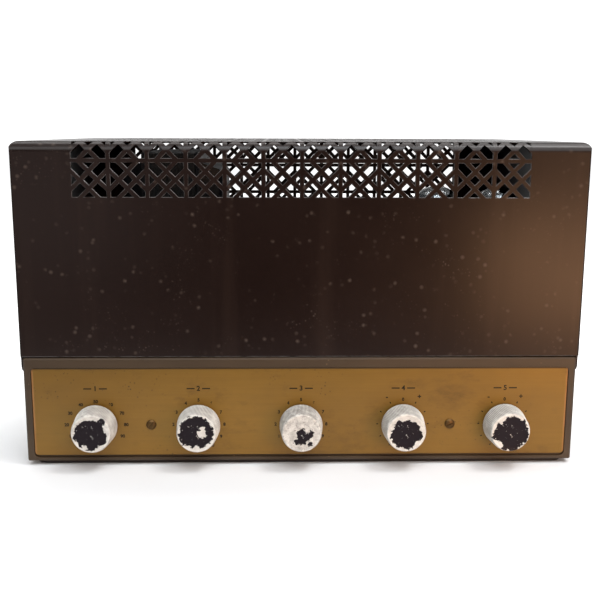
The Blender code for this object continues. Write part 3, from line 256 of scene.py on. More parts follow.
class Shading:
    """A procedural material that is being put together round one Principled shader."""

    def __init__(self, name, color=(0.5, 0.5, 0.5), roughness=0.5, metallic=0.0, **sockets):
        self.material = bpy.data.materials.new(name)
        self.material.use_nodes = True
        self.tree = self.material.node_tree
        self.shader = self.tree.nodes["Principled BSDF"]
        self.set(self.shader, {"Base Color": (*color, 1), "Roughness": roughness, "Metallic": metallic})
        self.set(self.shader, {name.replace("_", " "): value for name, value in sockets.items()})
        self.place = self.tree.nodes.new("ShaderNodeTexCoord").outputs["Object"]

    def set(self, node, values):
        """Gives a node's inputs, by name or number, a value or another node's output."""
        for name, value in values.items():
            if isinstance(value, bpy.types.NodeSocket):
                self.tree.links.new(value, node.inputs[name])
            else:
                node.inputs[name].default_value = value

    def node(self, kind, values, **settings):
        made = self.tree.nodes.new(kind)
        for name, value in settings.items():
            setattr(made, name, value)
        self.set(made, values)
        return made

    def stretched(self, stretch):
        return self.node("ShaderNodeMapping", {"Vector": self.place, "Scale": stretch}).outputs[0]

    def noise(self, scale, detail=3, roughness=0.5, stretch=(1, 1, 1)):
        vector = self.stretched(stretch)
        values = {"Vector": vector, "Scale": scale, "Detail": detail, "Roughness": roughness}
        return self.node("ShaderNodeTexNoise", values).outputs["Fac"]

    def dots(self, scale, low, high):
        """Round dots on a random net: 1 at their middles, 0 outside."""
        values = {"Vector": self.stretched((1, 1, 1)), "Scale": scale}
        distance = self.node("ShaderNodeTexVoronoi", values).outputs["Distance"]
        return self.between(distance, high, low)

    def between(self, value, low, high):
        """0 at one value and 1 at the other, straight in between."""
        limits = {"Value": value, "From Min": low, "From Max": high}
        return self.node("ShaderNodeMapRange", limits, clamp=True).outputs[0]

    def math(self, operation, first, second=0.0):
        made = self.node("ShaderNodeMath", {}, operation=operation)
        self.set(made, {0: first, 1: second})
        return made.outputs[0]

    def both(self, first, second):
        return self.math("MULTIPLY", first, second)

    def mix(self, share, first, second):
        made = self.node("ShaderNodeMix", {}, data_type="RGBA")
        colors = [(*value, 1) if isinstance(value, tuple) else value for value in (first, second)]
        self.set(made, {MIX_SHARE: share, MIX_FIRST: colors[0], MIX_SECOND: colors[1]})
        return made.outputs[MIX_RESULT]

    def color(self, value):
        self.set(self.shader, {"Base Color": value})

    def roughness(self, value, low, high):
        limits = {"Value": value, "To Min": low, "To Max": high}
        scaled = self.node("ShaderNodeMapRange", limits, clamp=True).outputs[0]
        self.set(self.shader, {"Roughness": scaled})

    def bump(self, height, depth, strength=1.0):
        values = {"Height": height, "Distance": depth, "Strength": strength}
        self.set(self.shader, {"Normal": self.node("ShaderNodeBump", values).outputs[0]})
        return self.material


def cover_enamel():
    """Dark brown baked enamel with dust, pale spots of corrosion, fine scratches, and pale hole rims that
    are partly wear and partly a painted highlight.
    """
    look = Shading("cover_enamel_worn", roughness=0.35, Specular_IOR_Level=0.3)
    cloud = look.noise(9, 4, 0.6)
    base = look.mix(cloud, (0.006, 0.002, 0.0012), (0.012, 0.0046, 0.0027))
    streaks = look.between(look.noise(60, 3, 0.6, (1, 1, 0.05)), 0.5, 0.8)
    base = look.mix(look.both(streaks, 0.3), base, (0.034, 0.019, 0.013))
    gather = look.between(look.noise(16, 3, 0.6), 0.5, 0.72)
    fine = look.both(look.dots(430, 0.08, 0.3), look.between(look.noise(140, 2), 0.5, 0.6))
    fine = look.both(fine, gather)
    large = look.both(look.dots(165, 0.02, 0.3), look.between(look.noise(85, 3), 0.5, 0.64))
    specks = look.math("MAXIMUM", look.both(fine, 0.4), look.both(large, 0.34))
    base = look.mix(specks, base, (0.17, 0.125, 0.1))
    # The chamfered hole rims turn pale grey: partly worn enamel, partly a painted highlight of edges
    # catching the light.
    rim_wear_and_glint = look.node("ShaderNodeAttribute", {}, attribute_name="rim_wear_and_glint").outputs["Fac"]
    rim_wear_and_glint = look.both(rim_wear_and_glint, look.between(look.noise(210, 3), 0.35, 0.55))
    base = look.mix(rim_wear_and_glint, base, (0.08, 0.072, 0.07))
    look.color(base)
    look.roughness(look.math("ADD", look.both(cloud, 0.6), specks), 0.22, 0.5)
    height = look.math("ADD", look.both(look.noise(900, 2), 0.12), look.both(specks, 0.5))
    return look.bump(height, RELIEF["cover"], 0.5)


def frame_enamel(name, dark, light, roughness):
    look = Shading(name, roughness=roughness, Specular_IOR_Level=0.35)
    cloud = look.noise(24, 4, 0.6, (0.35, 1, 1))
    base = look.mix(look.between(cloud, 0.3, 0.7), dark, light)
    chips = look.both(look.dots(240, 0.05, 0.16), look.between(look.noise(60, 2), 0.58, 0.66))
    base = look.mix(look.both(chips, 0.6), base, tuple(min(1, 3.2 * value) for value in light))
    look.color(base)
    look.roughness(cloud, roughness - 0.08, roughness + 0.12)
    return look.bump(look.noise(700, 3), RELIEF["frame"], 0.4)


def brushed_brass(low, high):
    """A lacquered brass plate, brushed along X, with brown stains, painted coppery highlights at its ends, a
    painted shadow along its top edge and a slight darkening towards its foot.
    """
    look = Shading("panel_brass_worn", metallic=0.3, roughness=0.45, Anisotropic=0.4)
    grain = look.noise(700, 3, 0.6, (0.02, 1, 1))
    cloud = look.noise(14, 5, 0.65, (0.6, 1, 1))
    base = look.mix(grain, (0.184, 0.093, 0.009), (0.25, 0.13, 0.013))
    base = look.mix(look.between(cloud, 0.3, 0.75), base, (0.163, 0.083, 0.009))
    stains = look.between(look.noise(32, 6, 0.72, (0.5, 1, 1)), 0.54, 0.74)
    base = look.mix(look.both(stains, 0.7), base, (0.085, 0.045, 0.010))
    gather = look.between(look.noise(26, 3, 0.6), 0.5, 0.66)
    freckles = look.both(look.dots(330, 0.08, 0.24), look.between(look.noise(150, 3), 0.42, 0.54))
    freckles = look.both(freckles, gather)
    base = look.mix(look.both(freckles, 0.85), base, (0.045, 0.024, 0.006))
    parts = look.node("ShaderNodeSeparateXYZ", {"Vector": look.place}).outputs
    # Painted highlight: the plate's two ends turn lighter and coppery, standing in for its bevelled edges
    # catching the light.
    across = look.math("ABSOLUTE", parts["X"])
    bare_or_glint = look.between(across, high.x - END_GLINT[0], high.x - END_GLINT[1])
    bare_or_glint = look.both(bare_or_glint, look.between(cloud, 0.35, 0.55))
    base = look.mix(look.both(bare_or_glint, 0.45), base, (0.5, 0.22, 0.09))
    # Painted shadow: a dark band along the plate's top edge, where the frame's lip would shade it, joined by
    # a slight darkening towards the plate's foot.
    darkening = look.between(parts["Z"], high.z - LIP_SHADOW[0], high.z - LIP_SHADOW[1])
    plate_foot = low.z + PANEL_RAISE
    foot = look.between(parts["Z"], plate_foot + FOOT_DARKENING, plate_foot)
    darkening = look.math("MAXIMUM", darkening, look.both(foot, 0.05))
    base = look.mix(look.both(darkening, 0.85), base, (0.02, 0.013, 0.006))
    look.color(base)
    look.roughness(stains, 0.38, 0.6)
    return look.bump(grain, RELIEF["brass"], 0.35)


def flaking_paint(name, patches, seed, grubby):
    """White paint that has come off the knob's dark face in patches, as PATCHES says."""
    look = Shading(name, roughness=0.6, Specular_IOR_Level=0.15)
    straight = KNOB_LENGTH - KNOB_RIM
    ragged = look.noise(520, 5, 0.62)
    wander = look.noise(170, 3, 0.6)
    shift = Vector((seed * 1.7, seed * 0.9, seed * 2.3))
    for node in look.tree.nodes:
        if node.type == "MAPPING":
            node.inputs["Location"].default_value = shift
    fine = look.both(look.math("SUBTRACT", ragged, 0.5), PATCH_RAGGEDNESS)
    coarse = look.both(look.math("SUBTRACT", wander, 0.5), PATCH_WANDER)
    uneven = look.math("ADD", fine, coarse)
    parts = look.node("ShaderNodeSeparateXYZ", {"Vector": look.place}).outputs
    bare_or_glint = None
    for x, y, radius in patches:
        across = look.math("SUBTRACT", parts["X"], x * MM)
        up = look.math("SUBTRACT", parts["Y"], y * MM)
        away = look.math("SQRT", look.math("ADD", look.both(across, across), look.both(up, up)))
        away = look.math("ADD", look.math("DIVIDE", away, MM), uneven)
        inside = look.between(away, abs(radius) + PATCH_SOFTNESS, abs(radius) - PATCH_SOFTNESS)
        if bare_or_glint is None:
            bare_or_glint = inside
        elif radius > 0:
            bare_or_glint = look.math("MAXIMUM", bare_or_glint, inside)
        else:
            bare_or_glint = look.math("SUBTRACT", bare_or_glint, inside)
    on_face = look.between(parts["Z"], PAINT_END, PAINT_END + PAINT_FADE)
    specks = look.dots(900, 0.16, 0.3)
    specks = look.both(specks, look.between(look.noise(300, 3), 0.56, 0.6))
    bare_or_glint = look.math("SUBTRACT", look.both(bare_or_glint, on_face), specks)
    bare_or_glint = look.between(bare_or_glint, 0.3, 0.7)
    dirt = look.between(look.noise(240, 5, 0.7), 0.42, 0.72)
    white = look.mix(look.both(dirt, 0.4 + 0.6 * grubby), (0.7, 0.68, 0.63), (0.33, 0.31, 0.285))
    darkening = look.between(look.noise(700, 4, 0.7), 0.66 - 0.1 * grubby, 0.8 - 0.12 * grubby)
    white = look.mix(look.both(darkening, 0.7), white, (0.13, 0.1, 0.09))
    # Painted shade: the knurls' grooves along the straight side are darkened, as if light did not reach into
    # them.
    angle = look.math("ARCTAN2", parts["Y"], parts["X"])
    ridge = look.math("COSINE", look.both(angle, KNURLS))
    groove_shade = look.both(look.between(ridge, 0.5, -0.5), look.between(parts["Z"], KNOB_LENGTH, straight))
    groove_shade = look.both(groove_shade, look.between(look.noise(130, 3), 0.3, 0.5))
    white = look.mix(look.both(groove_shade, 0.75), white, (0.12, 0.1, 0.095))
    dark = look.mix(look.noise(500, 2), (0.007, 0.004, 0.006), (0.013, 0.009, 0.012))
    look.color(look.mix(bare_or_glint, white, dark))
    look.roughness(bare_or_glint, 0.72, 0.42)
    height = look.math("SUBTRACT", look.both(ragged, 0.25), bare_or_glint)
    return look.bump(height, PAINT_THICKNESS, 0.8)


def plain_metal(name, color, roughness, metallic=1.0, grain=400, stretch=(1, 1, 1)):
    look = Shading(name, metallic=metallic, roughness=roughness)
    cloud = look.noise(60, 4, 0.6)
    base = look.mix(look.between(cloud, 0.35, 0.75), color, tuple(0.6 * value for value in color))
    look.color(base)
    look.roughness(cloud, roughness - 0.1, roughness + 0.15)
    return look.bump(look.noise(grain, 3, 0.5, stretch), RELIEF["metal"], 0.4)


def moulded(name, color, roughness, fleck=None):
    look = Shading(name, color, roughness)
    cloud = look.noise(90, 3)
    other = fleck or tuple(1.6 * value for value in color)
    look.color(look.mix(look.between(cloud, 0.4, 0.7), color, other))
    look.roughness(cloud, roughness - 0.08, roughness + 0.1)
    return look.bump(look.noise(900, 2), RELIEF["moulding"], 0.3)


def laminations():
    """The edges of a stack of thin iron sheets, seen as fine lines."""
    look = Shading("lamination_edges", metallic=0.6, roughness=0.55)
    values = {"Vector": look.place, "Scale": 320, "Distortion": 0.4}
    wave = look.node("ShaderNodeTexWave", values, bands_direction="X").outputs["Fac"]
    base = look.mix(wave, (0.006, 0.006, 0.007), (0.03, 0.029, 0.028))
    rust = look.between(look.noise(80, 4, 0.7), 0.55, 0.75)
    look.color(look.mix(look.both(rust, 0.5), base, (0.12, 0.06, 0.03)))
    return look.bump(wave, RELIEF["lamination"], 0.7)


def clear_glass():
    look = Shading("valve_glass_clear", (0.93, 0.96, 0.96), 0.03, Transmission_Weight=1.0, IOR=1.47)
    smear = look.noise(70, 4, 0.7)
    look.roughness(look.between(smear, 0.5, 0.8), 0.01, 0.05)
    return look.material


def panel_ink():
    look = Shading("panel_ink", roughness=0.6, Specular_IOR_Level=0.2)
    worn = look.between(look.noise(900, 4, 0.7), 0.6, 0.8)
    look.color(look.mix(worn, (0.008, 0.006, 0.004), (0.05, 0.03, 0.01)))
    return look.bump(worn, RELIEF["ink"], 0.3)


# Shapes


def finished(obj, material, body=BODY, replaces=()):
    """Gives a piece its material and its body, and hides the nodes that it stands for."""
    obj.data.materials.clear()
    obj.data.materials.append(material)
    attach(obj, body)
    if replaces:
        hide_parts(*replaces)


def linked(name, mesh, place=(0, 0, 0), turn=(0, 0, 0)):
    obj = bpy.data.objects.new(name, mesh)
    obj.location = place
    obj.rotation_euler = turn
    bpy.context.scene.collection.objects.link(obj)
    return obj


def from_bmesh(name, bm, place=(0, 0, 0), turn=(0, 0, 0), smooth=None):
    bmesh.ops.recalc_face_normals(bm, faces=bm.faces)
    mesh = bpy.data.meshes.new(name)
    bm.to_mesh(mesh)
    bm.free()
    if smooth:
        mesh.shade_smooth()
        mesh.set_sharp_from_angle(angle=math.radians(smooth))
    return linked(name, mesh, place, turn)


def baked(obj, smooth=None):
    """Replaces an object's mesh by the one that its modifiers make."""
    graph = bpy.context.evaluated_depsgraph_get()
    mesh = bpy.data.meshes.new_from_object(obj.evaluated_get(graph))
    obj.modifiers.clear()
    obj.data = mesh
    if smooth:
        mesh.shade_smooth()
        mesh.set_sharp_from_angle(angle=math.radians(smooth))
    return obj


def add_box(bm, low, high):
    verts = bmesh.ops.create_cube(bm, size=1)["verts"]
    for vert in verts:
        for axis in range(3):
            middle = (low[axis] + high[axis]) / 2
            vert.co[axis] = middle + vert.co[axis] * (high[axis] - low[axis])
    return verts


def add_rod(bm, start, end, radius, facets=24, top_radius=None):
    start, end = Vector(start), Vector(end)
    along = end - start
    verts = bmesh.ops.create_cone(
        bm, cap_ends=True, segments=facets, radius1=radius,
        radius2=radius if top_radius is None else top_radius, depth=along.length,
    )["verts"]
    turn = Vector((0, 0, 1)).rotation_difference(along).to_matrix()
    bmesh.ops.rotate(bm, verts=verts, matrix=turn)
    bmesh.ops.translate(bm, verts=verts, vec=(start + end) / 2)
    return verts


def turned(name, profile, facets, place=(0, 0, 0), turn=(0, 0, 0), smooth=35, ring=False):
    """A profile of (radius, height) points spun round the piece's own Z axis."""
    count = len(profile)
    edges = [(i, i + 1) for i in range(count - 1)]
    if ring:
        edges.append((count - 1, 0))
    mesh = bpy.data.meshes.new(name)
    mesh.from_pydata([(radius, 0, height) for radius, height in profile], edges, [])
    obj = linked(name, mesh, place, turn)
    screw = obj.modifiers.new("turn", "SCREW")
    screw.steps = screw.render_steps = facets
    screw.use_merge_vertices = True
    screw.merge_threshold = 0.01 * MM
    return baked(obj, smooth)


def arc(centre, radius, start, end, facets):
    step = (end - start) / facets
    angles = [start + i * step for i in range(facets + 1)]
    return [(centre[0] + radius * math.cos(a), centre[1] + radius * math.sin(a)) for a in angles]


# The cover


class CoverRun:
    """The cover's sheet, unrolled: up the front, over the top and down the rear."""

    bend = BEND_RADIUS - SHEET / 2
    quarter = bend * math.pi / 2
    start = COVER_HIGH.z - LATTICE_FRONT_DROP
    front = LATTICE_FRONT_DROP - BEND_RADIUS
    top = COVER_HIGH.y - COVER_LOW.y - 2 * BEND_RADIUS
    rear = LATTICE_REAR_DROP - BEND_RADIUS
    length = front + top + rear + 2 * quarter

    @classmethod
    def point(cls, x, run, out):
        """The point at a run along the sheet from the lattice's foot, out from its face."""
        reach = BEND_RADIUS + out
        centre_height = COVER_HIGH.z - BEND_RADIUS
        if run <= cls.front:
            return Vector((x, COVER_LOW.y - out, cls.start + run))
        run -= cls.front
        if run <= cls.quarter:
            angle = run / cls.bend
            y = COVER_LOW.y + BEND_RADIUS - reach * math.cos(angle)
            return Vector((x, y, centre_height + reach * math.sin(angle)))
        run -= cls.quarter
        if run <= cls.top:
            return Vector((x, COVER_LOW.y + BEND_RADIUS + run, COVER_HIGH.z + out))
        run -= cls.top
        if run <= cls.quarter:
            angle = run / cls.bend
            y = COVER_HIGH.y - BEND_RADIUS + reach * math.sin(angle)
            return Vector((x, y, centre_height + reach * math.cos(angle)))
        return Vector((x, COVER_HIGH.y + out, centre_height - (run - cls.quarter)))

    @classmethod
    def facing(cls, run):
        return (cls.point(0, run, OVERRUN) - cls.point(0, run, 0)).normalized()


def cell_holes():
    """The outlines of one cell's nine holes, about the cell's centre."""
    corner = CELL / 2 - BAR_WIDTH / 2
    slot_start = DIAMOND_SIDE / 2 + DIAGONAL_WIDTH
    half = DIAMOND_SIDE / math.sqrt(2)
    side = SLOT_WIDTH / math.sqrt(2)
    foot = slot_start / math.sqrt(2)
    slot = [
        (corner, corner), (corner - side, corner), (foot - side / 2, foot + side / 2),
        (foot + side / 2, foot - side / 2), (corner, corner - side),
    ]
    apex = slot_start * math.sqrt(2)
    base = corner - apex
    triangle = [(corner, -base), (corner, base), (apex, 0)]
    holes = [[(half, 0), (0, half), (-half, 0), (0, -half)]]
    for quarter in range(4):
        c = round(math.cos(quarter * math.pi / 2))
        s = round(math.sin(quarter * math.pi / 2))
        for outline in (slot, triangle):
            holes.append([(c * x - s * y, s * x + c * y) for x, y in outline])
    return holes


def add_hole(bm, outline):
    """Adds a straight cutter for one hole, square to the middle of the sheet that it covers."""
    runs = [run for _, run in outline]
    along = (CoverRun.facing(min(runs)) + CoverRun.facing(max(runs))).normalized()
    on_sheet = [CoverRun.point(x, run, 0) for x, run in outline]
    heights = [point.dot(along) for point in on_sheet]
    top = max(heights) + OVERRUN
    foot = min(heights) - SHEET * math.sqrt(2) - FIT
    outer = [bm.verts.new(p + along * (top - h)) for p, h in zip(on_sheet, heights)]
    inner = [bm.verts.new(p + along * (foot - h)) for p, h in zip(on_sheet, heights)]
    bm.faces.new(outer)
    bm.faces.new(reversed(inner))
    for i in range(len(outline)):
        j = (i + 1) % len(outline)
        bm.faces.new([outer[j], outer[i], inner[i], inner[j]])


def lattice_cutter():
    columns = round((COVER_HIGH.x - COVER_LOW.x - 2 * LATTICE_END_MARGIN) / CELL)
    rows = round(CoverRun.length / CELL)
    holes = cell_holes()
    bm = bmesh.new()
    for row in range(rows):
        for column in range(columns):
            middle = ((column - (columns - 1) / 2) * CELL, (row + 0.5) * CELL)
            for outline in holes:
                add_hole(bm, [(middle[0] + x, middle[1] + y) for x, y in outline])
    return from_bmesh("lattice_cutter", bm)


def skirt_cutter(side):
    """Cuts the cover's ends up to its front or rear wall and rounds the flaps' corner."""
    edge = COVER_HIGH.y - CORNER_RADIUS - SKIRT_INSET
    bottom = DECK_TOP + COVER_GAP
    beyond, below = COVER_HIGH.y + OVERRUN, COVER_LOW.z - OVERRUN
    centre = (edge - SKIRT_ROUND, COVER_LOW.z + SKIRT_ROUND)
    outline = [
        (beyond, bottom), (edge, bottom), *arc(centre, SKIRT_ROUND, 0, -math.pi / 2, BEND_FACETS),
        (edge - SKIRT_ROUND, below), (beyond, below),
    ]
    reach = COVER_HIGH.x + OVERRUN
    bm = bmesh.new()
    face = bm.faces.new([bm.verts.new((-reach, side * y, z)) for y, z in outline])
    made = bmesh.ops.extrude_face_region(bm, geom=[face])["geom"]
    moved = [item for item in made if isinstance(item, bmesh.types.BMVert)]
    bmesh.ops.translate(bm, verts=moved, vec=(2 * reach, 0, 0))
    return from_bmesh("skirt_cutter", bm)


def rounded_block(name, low, high, radius, along):
    """A block whose four edges along one axis, given by its number, are rounded."""
    bm = bmesh.new()
    add_box(bm, low, high)
    layer = bm.edges.layers.float.new("bevel_weight_edge")
    for edge in bm.edges:
        run = edge.verts[1].co - edge.verts[0].co
        edge[layer] = 1 if max(range(3), key=lambda i: abs(run[i])) == along else 0
    block = from_bmesh(name, bm)
    bevel = block.modifiers.new("rounding", "BEVEL")
    bevel.limit_method = "WEIGHT"
    bevel.width = radius
    bevel.segments = BEND_FACETS
    return baked(block)


def combine(obj, operation, others):
    """Cuts an object by others, or keeps what they share, and removes them."""
    for other in others:
        step = obj.modifiers.new(other.name, "BOOLEAN")
        step.operation = operation
        step.object = other
    baked(obj)
    for other in others:
        bpy.data.objects.remove(other, do_unlink=True)
    return obj


def cover_body(name, inset, bottom):
    """The cover's solid form, or its hollow when it is inset by the sheet."""
    low = (COVER_LOW.x + inset, COVER_LOW.y + inset, bottom)
    high = (COVER_HIGH.x - inset, COVER_HIGH.y - inset, COVER_HIGH.z - inset)
    under = (low[0], low[1], bottom - BEND_RADIUS - OVERRUN)
    body = rounded_block(name, low, high, CORNER_RADIUS - inset, 2)
    bends = rounded_block("bends", under, high, BEND_RADIUS - inset, 0)
    ends = rounded_block("ends", under, high, END_RADIUS - inset, 1)
    return combine(body, "INTERSECT", [bends, ends])


def weigh_rims(mesh):
    """Marks the square edges of the holes in the cover's flat front and top for the chamfer."""
    bm = bmesh.new()
    bm.from_mesh(mesh)
    layers = bm.edges.layers.float
    layer = layers.get("bevel_weight_edge") or layers.new("bevel_weight_edge")
    for edge in bm.edges:
        ends = [vert.co for vert in edge.verts]
        on_front = all(point.y < COVER_LOW.y + FLATNESS for point in ends)
        on_top = all(point.z > COVER_HIGH.z - FLATNESS for point in ends)
        square = len(edge.link_faces) == 2 and edge.calc_face_angle() > RIM_ANGLE
        edge[layer] = 1 if (on_front or on_top) and square else 0
    bm.to_mesh(mesh)
    bm.free()


def chamfer_rims(cover):
    """Chamfers the marked edges and stores which faces are the chamfers, for the enamel's pale rims, which
    are partly wear and partly a painted highlight.
    """
    rims = cover.modifiers.new("rims", "BEVEL")
    rims.limit_method = "WEIGHT"
    rims.width = RIM_CHAMFER
    rims.segments = 1
    rims.material = 1
    rims.use_clamp_overlap = False
    for _ in range(2):
        cover.data.materials.append(None)
    baked(cover)
    rim_wear_and_glint = cover.data.attributes.new("rim_wear_and_glint", "FLOAT", "FACE")
    for face, value in zip(cover.data.polygons, rim_wear_and_glint.data):
        value.value = face.material_index
        face.material_index = 0
    cover.data.materials.clear()


def make_cover():
    cover = cover_body("cover_shell", 0, COVER_LOW.z)
    hollow = cover_body("cover_hollow", SHEET, COVER_LOW.z - OVERRUN)
    combine(cover, "DIFFERENCE", [hollow, skirt_cutter(-1), skirt_cutter(1), lattice_cutter()])
    weigh_rims(cover.data)
    chamfer_rims(cover)
    baked(cover, smooth=30)
    flat_faces = cover.modifiers.new("flat_faces", "WEIGHTED_NORMAL")
    flat_faces.weight = 100
    flat_faces.keep_sharp = True
    baked(cover)
    finished(cover, cover_enamel(), replaces=["cover"])


# Knobs


def make_knob(number, name):
    """A knurled knob that narrows to its face, with a raised rim round a shallow dish."""
    low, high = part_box(f"knob_{name}")
    place = ((low.x + high.x) / 2, high.y, AXIS_HEIGHT)
    straight = KNOB_LENGTH - KNOB_RIM
    lip = [(KNOB_FACE - r * KNOB_LIP, KNOB_LENGTH - h * KNOB_DISH, 0) for r, h in LIP_SHARES]
    rings = [
        (0, 0, 0), (KNOB_BASE - 4 / 3 * KNOB_FOOT, 0, 0), (KNOB_BASE - 4 / 9 * KNOB_FOOT, KNOB_FOOT / 9, 0),
        (KNOB_BASE, KNOB_FOOT, 1), (KNOB_FACE + KNOB_FLARE, straight, 1),
        (KNOB_FACE, straight + 0.35 * KNOB_RIM, 0.6), *lip,
        (0.5 * KNOB_FACE, KNOB_LENGTH - KNOB_DISH, 0), (0, KNOB_LENGTH - KNOB_DISH, 0),
    ]
    count = 2 * KNURLS
    bm = bmesh.new()
    rows = []
    for radius, height, knurl in rings:
        if radius == 0:
            rows.append([bm.verts.new((0, 0, height))])
            continue
        row = []
        for i in range(count):
            reach = radius - (KNURL_DEPTH * knurl if i % 2 else 0)
            angle = math.tau * i / count
            row.append(bm.verts.new((reach * math.cos(angle), reach * math.sin(angle), height)))
        rows.append(row)
    for below, above in zip(rows, rows[1:]):
        for i in range(count):
            j = (i + 1) % count
            corners = [row[k % len(row)] for row, k in ((below, i), (below, j), (above, j), (above, i))]
            bm.faces.new(list(dict.fromkeys(corners)))
    knob = from_bmesh(f"{name}_knob", bm, place, (math.pi / 2, 0, 0), smooth=25)
    look = flaking_paint(f"flaking_paint_{name}", PATCHES[name], number, GRUBBY.get(name, 0))
    finished(knob, look, f"{name}_control", [f"knob_{name}"])


# Print on the panel


def text_mesh(body, size):
    """The filled outline of a short text, centred, in the XY plane."""
    curve = bpy.data.curves.new("text", "FONT")
    curve.body = body
    curve.size = size
    curve.align_x = "CENTER"
    curve.align_y = "CENTER"
    curve.extrude = PRINT_THICKNESS / 2
    curve.offset = PRINT_WEIGHT
    holder = linked("text", curve)
    graph = bpy.context.evaluated_depsgraph_get()
    mesh = bpy.data.meshes.new_from_object(holder.evaluated_get(graph))
    bpy.data.objects.remove(holder, do_unlink=True)
    return mesh


def on_panel(x, z):
    """The transform that lays something drawn in the XY plane on the panel's face."""
    at = Matrix.Translation((x, PANEL_FACE - PRINT_THICKNESS / 2, z))
    return at @ Matrix.Rotation(math.pi / 2, 4, "X")


def add_text(bm, body, size, x, z):
    mesh = text_mesh(body, size)
    mesh.transform(on_panel(x, z))
    bm.from_mesh(mesh)
    bpy.data.meshes.remove(mesh)


def add_bar(bm, x, z, length, width, angle=0.0):
    high = (width / 2, length / 2, PRINT_THICKNESS / 2)
    verts = add_box(bm, [-value for value in high], high)
    bmesh.ops.transform(bm, verts=verts, matrix=on_panel(x, z) @ Matrix.Rotation(-angle, 4, "Z"))


def around(centre, degrees, across, up=None):
    """The point on a circle or ellipse round a knob, at an angle clockwise from straight up."""
    angle = math.radians(degrees)
    return centre + across * math.sin(angle), AXIS_HEIGHT + (up or across) * math.cos(angle)


def make_panel():
    """The brass plate, rounded at its corners and cut out for the shafts and the screws."""
    low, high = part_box("front_panel")
    plate = rounded_block("panel_plate", (low.x, low.y, low.z + PANEL_RAISE), tuple(high), PLATE_CORNER, 1)
    cutters = []
    for node in [f"shaft_{name}" for name in CONTROLS] + list(PANEL_SCREWS):
        first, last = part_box(node)
        x, z = (first.x + last.x) / 2, (first.z + last.z) / 2
        radius = SCREW_SHANK if node in PANEL_SCREWS else (last.x - first.x) / 2
        bm = bmesh.new()
        add_rod(bm, (x, low.y - OVERRUN, z), (x, high.y + OVERRUN, z), radius + FIT, ROUND_FACETS)
        cutters.append(from_bmesh("panel_hole", bm))
    combine(plate, "DIFFERENCE", cutters)
    edge = plate.modifiers.new("edge", "BEVEL")
    edge.width = PLATE_EDGE
    edge.segments = 1
    edge.limit_method = "ANGLE"
    edge.angle_limit = PLATE_EDGE_ANGLE
    baked(plate)
    finished(plate, brushed_brass(low, high), replaces=["front_panel"])


def slotted_head(name, profile, facets, place, tilt, slot_foot, turn):
    """A turned screw head that looks along its own Z, with a slot down to slot_foot."""
    head = turned(name, profile, facets, place, (tilt, 0, 0))
    reach = max(radius for radius, _ in profile) + OVERRUN
    top = max(height for _, height in profile) + OVERRUN
    bm = bmesh.new()
    add_box(bm, (-reach, -SLOT_CUT / 2, slot_foot), (reach, SLOT_CUT / 2, top))
    bmesh.ops.rotate(bm, verts=bm.verts, matrix=Matrix.Rotation(turn, 3, "Z"))
    combine(head, "DIFFERENCE", [from_bmesh("slot_cutter", bm, place, (tilt, 0, 0))])
    return baked(head, smooth=30)


def make_panel_screws():
    """Domed heads on the plate's face, each with a shank down to the chassis."""
    look = plain_metal("screw_bronzed", (0.13, 0.075, 0.03), 0.45)
    for node, turn in zip(PANEL_SCREWS, SLOT_TURNS):
        low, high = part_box(node)
        place = ((low.x + high.x) / 2, high.y, (low.z + high.z) / 2)
        radius, depth = (high.x - low.x) / 2, high.y - low.y
        seat = high.y - PANEL_FACE
        dome = [(r * radius, seat + h * (depth - seat)) for r, h in DOME_SHARES]
        profile = [*dome, (SCREW_SHANK, dome[-1][1]), (SCREW_SHANK, 0), (0, 0)]
        slot_foot = depth - SLOT_DEPTH
        head = slotted_head(f"{node}_head", profile, ROUND_FACETS, place, math.pi / 2, slot_foot, turn)
        finished(head, look, replaces=[node])


def add_dial(bm, centre, numbered):
    """A ring of marks round a knob: numbers from 0, or ticks either side of a zero."""
    middle = SCALE_MARKS // 2
    for mark in range(SCALE_MARKS):
        degrees = (mark - middle) * SCALE_STEP
        x, z = around(centre, degrees, SCALE_RADIUS)
        if numbered:
            add_text(bm, str(mark), DIGIT_SIZE, x, z)
        elif mark == middle:
            add_text(bm, "0", DIGIT_SIZE, x, z)
        else:
            add_bar(bm, x, z, TICK_LENGTH, TICK_WIDTH, math.radians(degrees))


def make_print():
    """Plain numbers over the knobs and round them, in place of the photograph's words."""
    bm = bmesh.new()
    for number, name in enumerate(CONTROLS, 1):
        low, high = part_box(f"shaft_{name}")
        centre = (low.x + high.x) / 2
        add_text(bm, str(number), TITLE_SIZE, centre, TITLE_HEIGHT)
        for side in (-1, 1):
            x = centre + side * (RULE_GAP + RULE_LENGTH / 2)
            add_bar(bm, x, TITLE_HEIGHT, RULE_WIDTH, RULE_LENGTH)
        if name == "selector":
            for mark in range(SELECTOR_MARKS):
                degrees = (mark - SELECTOR_MARKS // 2) * SCALE_STEP
                add_text(bm, str(10 * (mark + 1)), DIGIT_SIZE, *around(centre, degrees, *SELECTOR_RADII))
            continue
        add_dial(bm, centre, name in NUMBERED)
        if name not in NUMBERED:
            for sign, side in (("-", -1), ("+", 1)):
                add_text(bm, sign, TITLE_SIZE, *around(centre, side * SCALE_STEP, SIGN_RADIUS))
    finished(from_bmesh("panel_print", bm), panel_ink())


# Valves


def offset_profile(profile, wall):
    """The inner line of a thin wall, from a profile that runs from the top down the side."""
    inner = []
    for i, (radius, height) in enumerate(profile):
        before = profile[max(i - 1, 0)]
        after = profile[min(i + 1, len(profile) - 1)]
        along = Vector((after[0] - before[0], after[1] - before[1])).normalized()
        inner.append((max(radius + along.y * wall, 0), height - along.x * wall))
    return inner


def smooth_profile(shares, diameter, height):
    """Rounds a coarse outline given as shares, by cutting its corners twice."""
    points = [(r * diameter / 2, h * height) for r, h in shares]
    for _ in range(2):
        cut = [points[0]]
        for first, second in zip(points, points[1:]):
            cut.append(tuple(0.75 * a + 0.25 * b for a, b in zip(first, second)))
            cut.append(tuple(0.25 * a + 0.75 * b for a, b in zip(first, second)))
        points = [*cut, points[-1]]
    return points


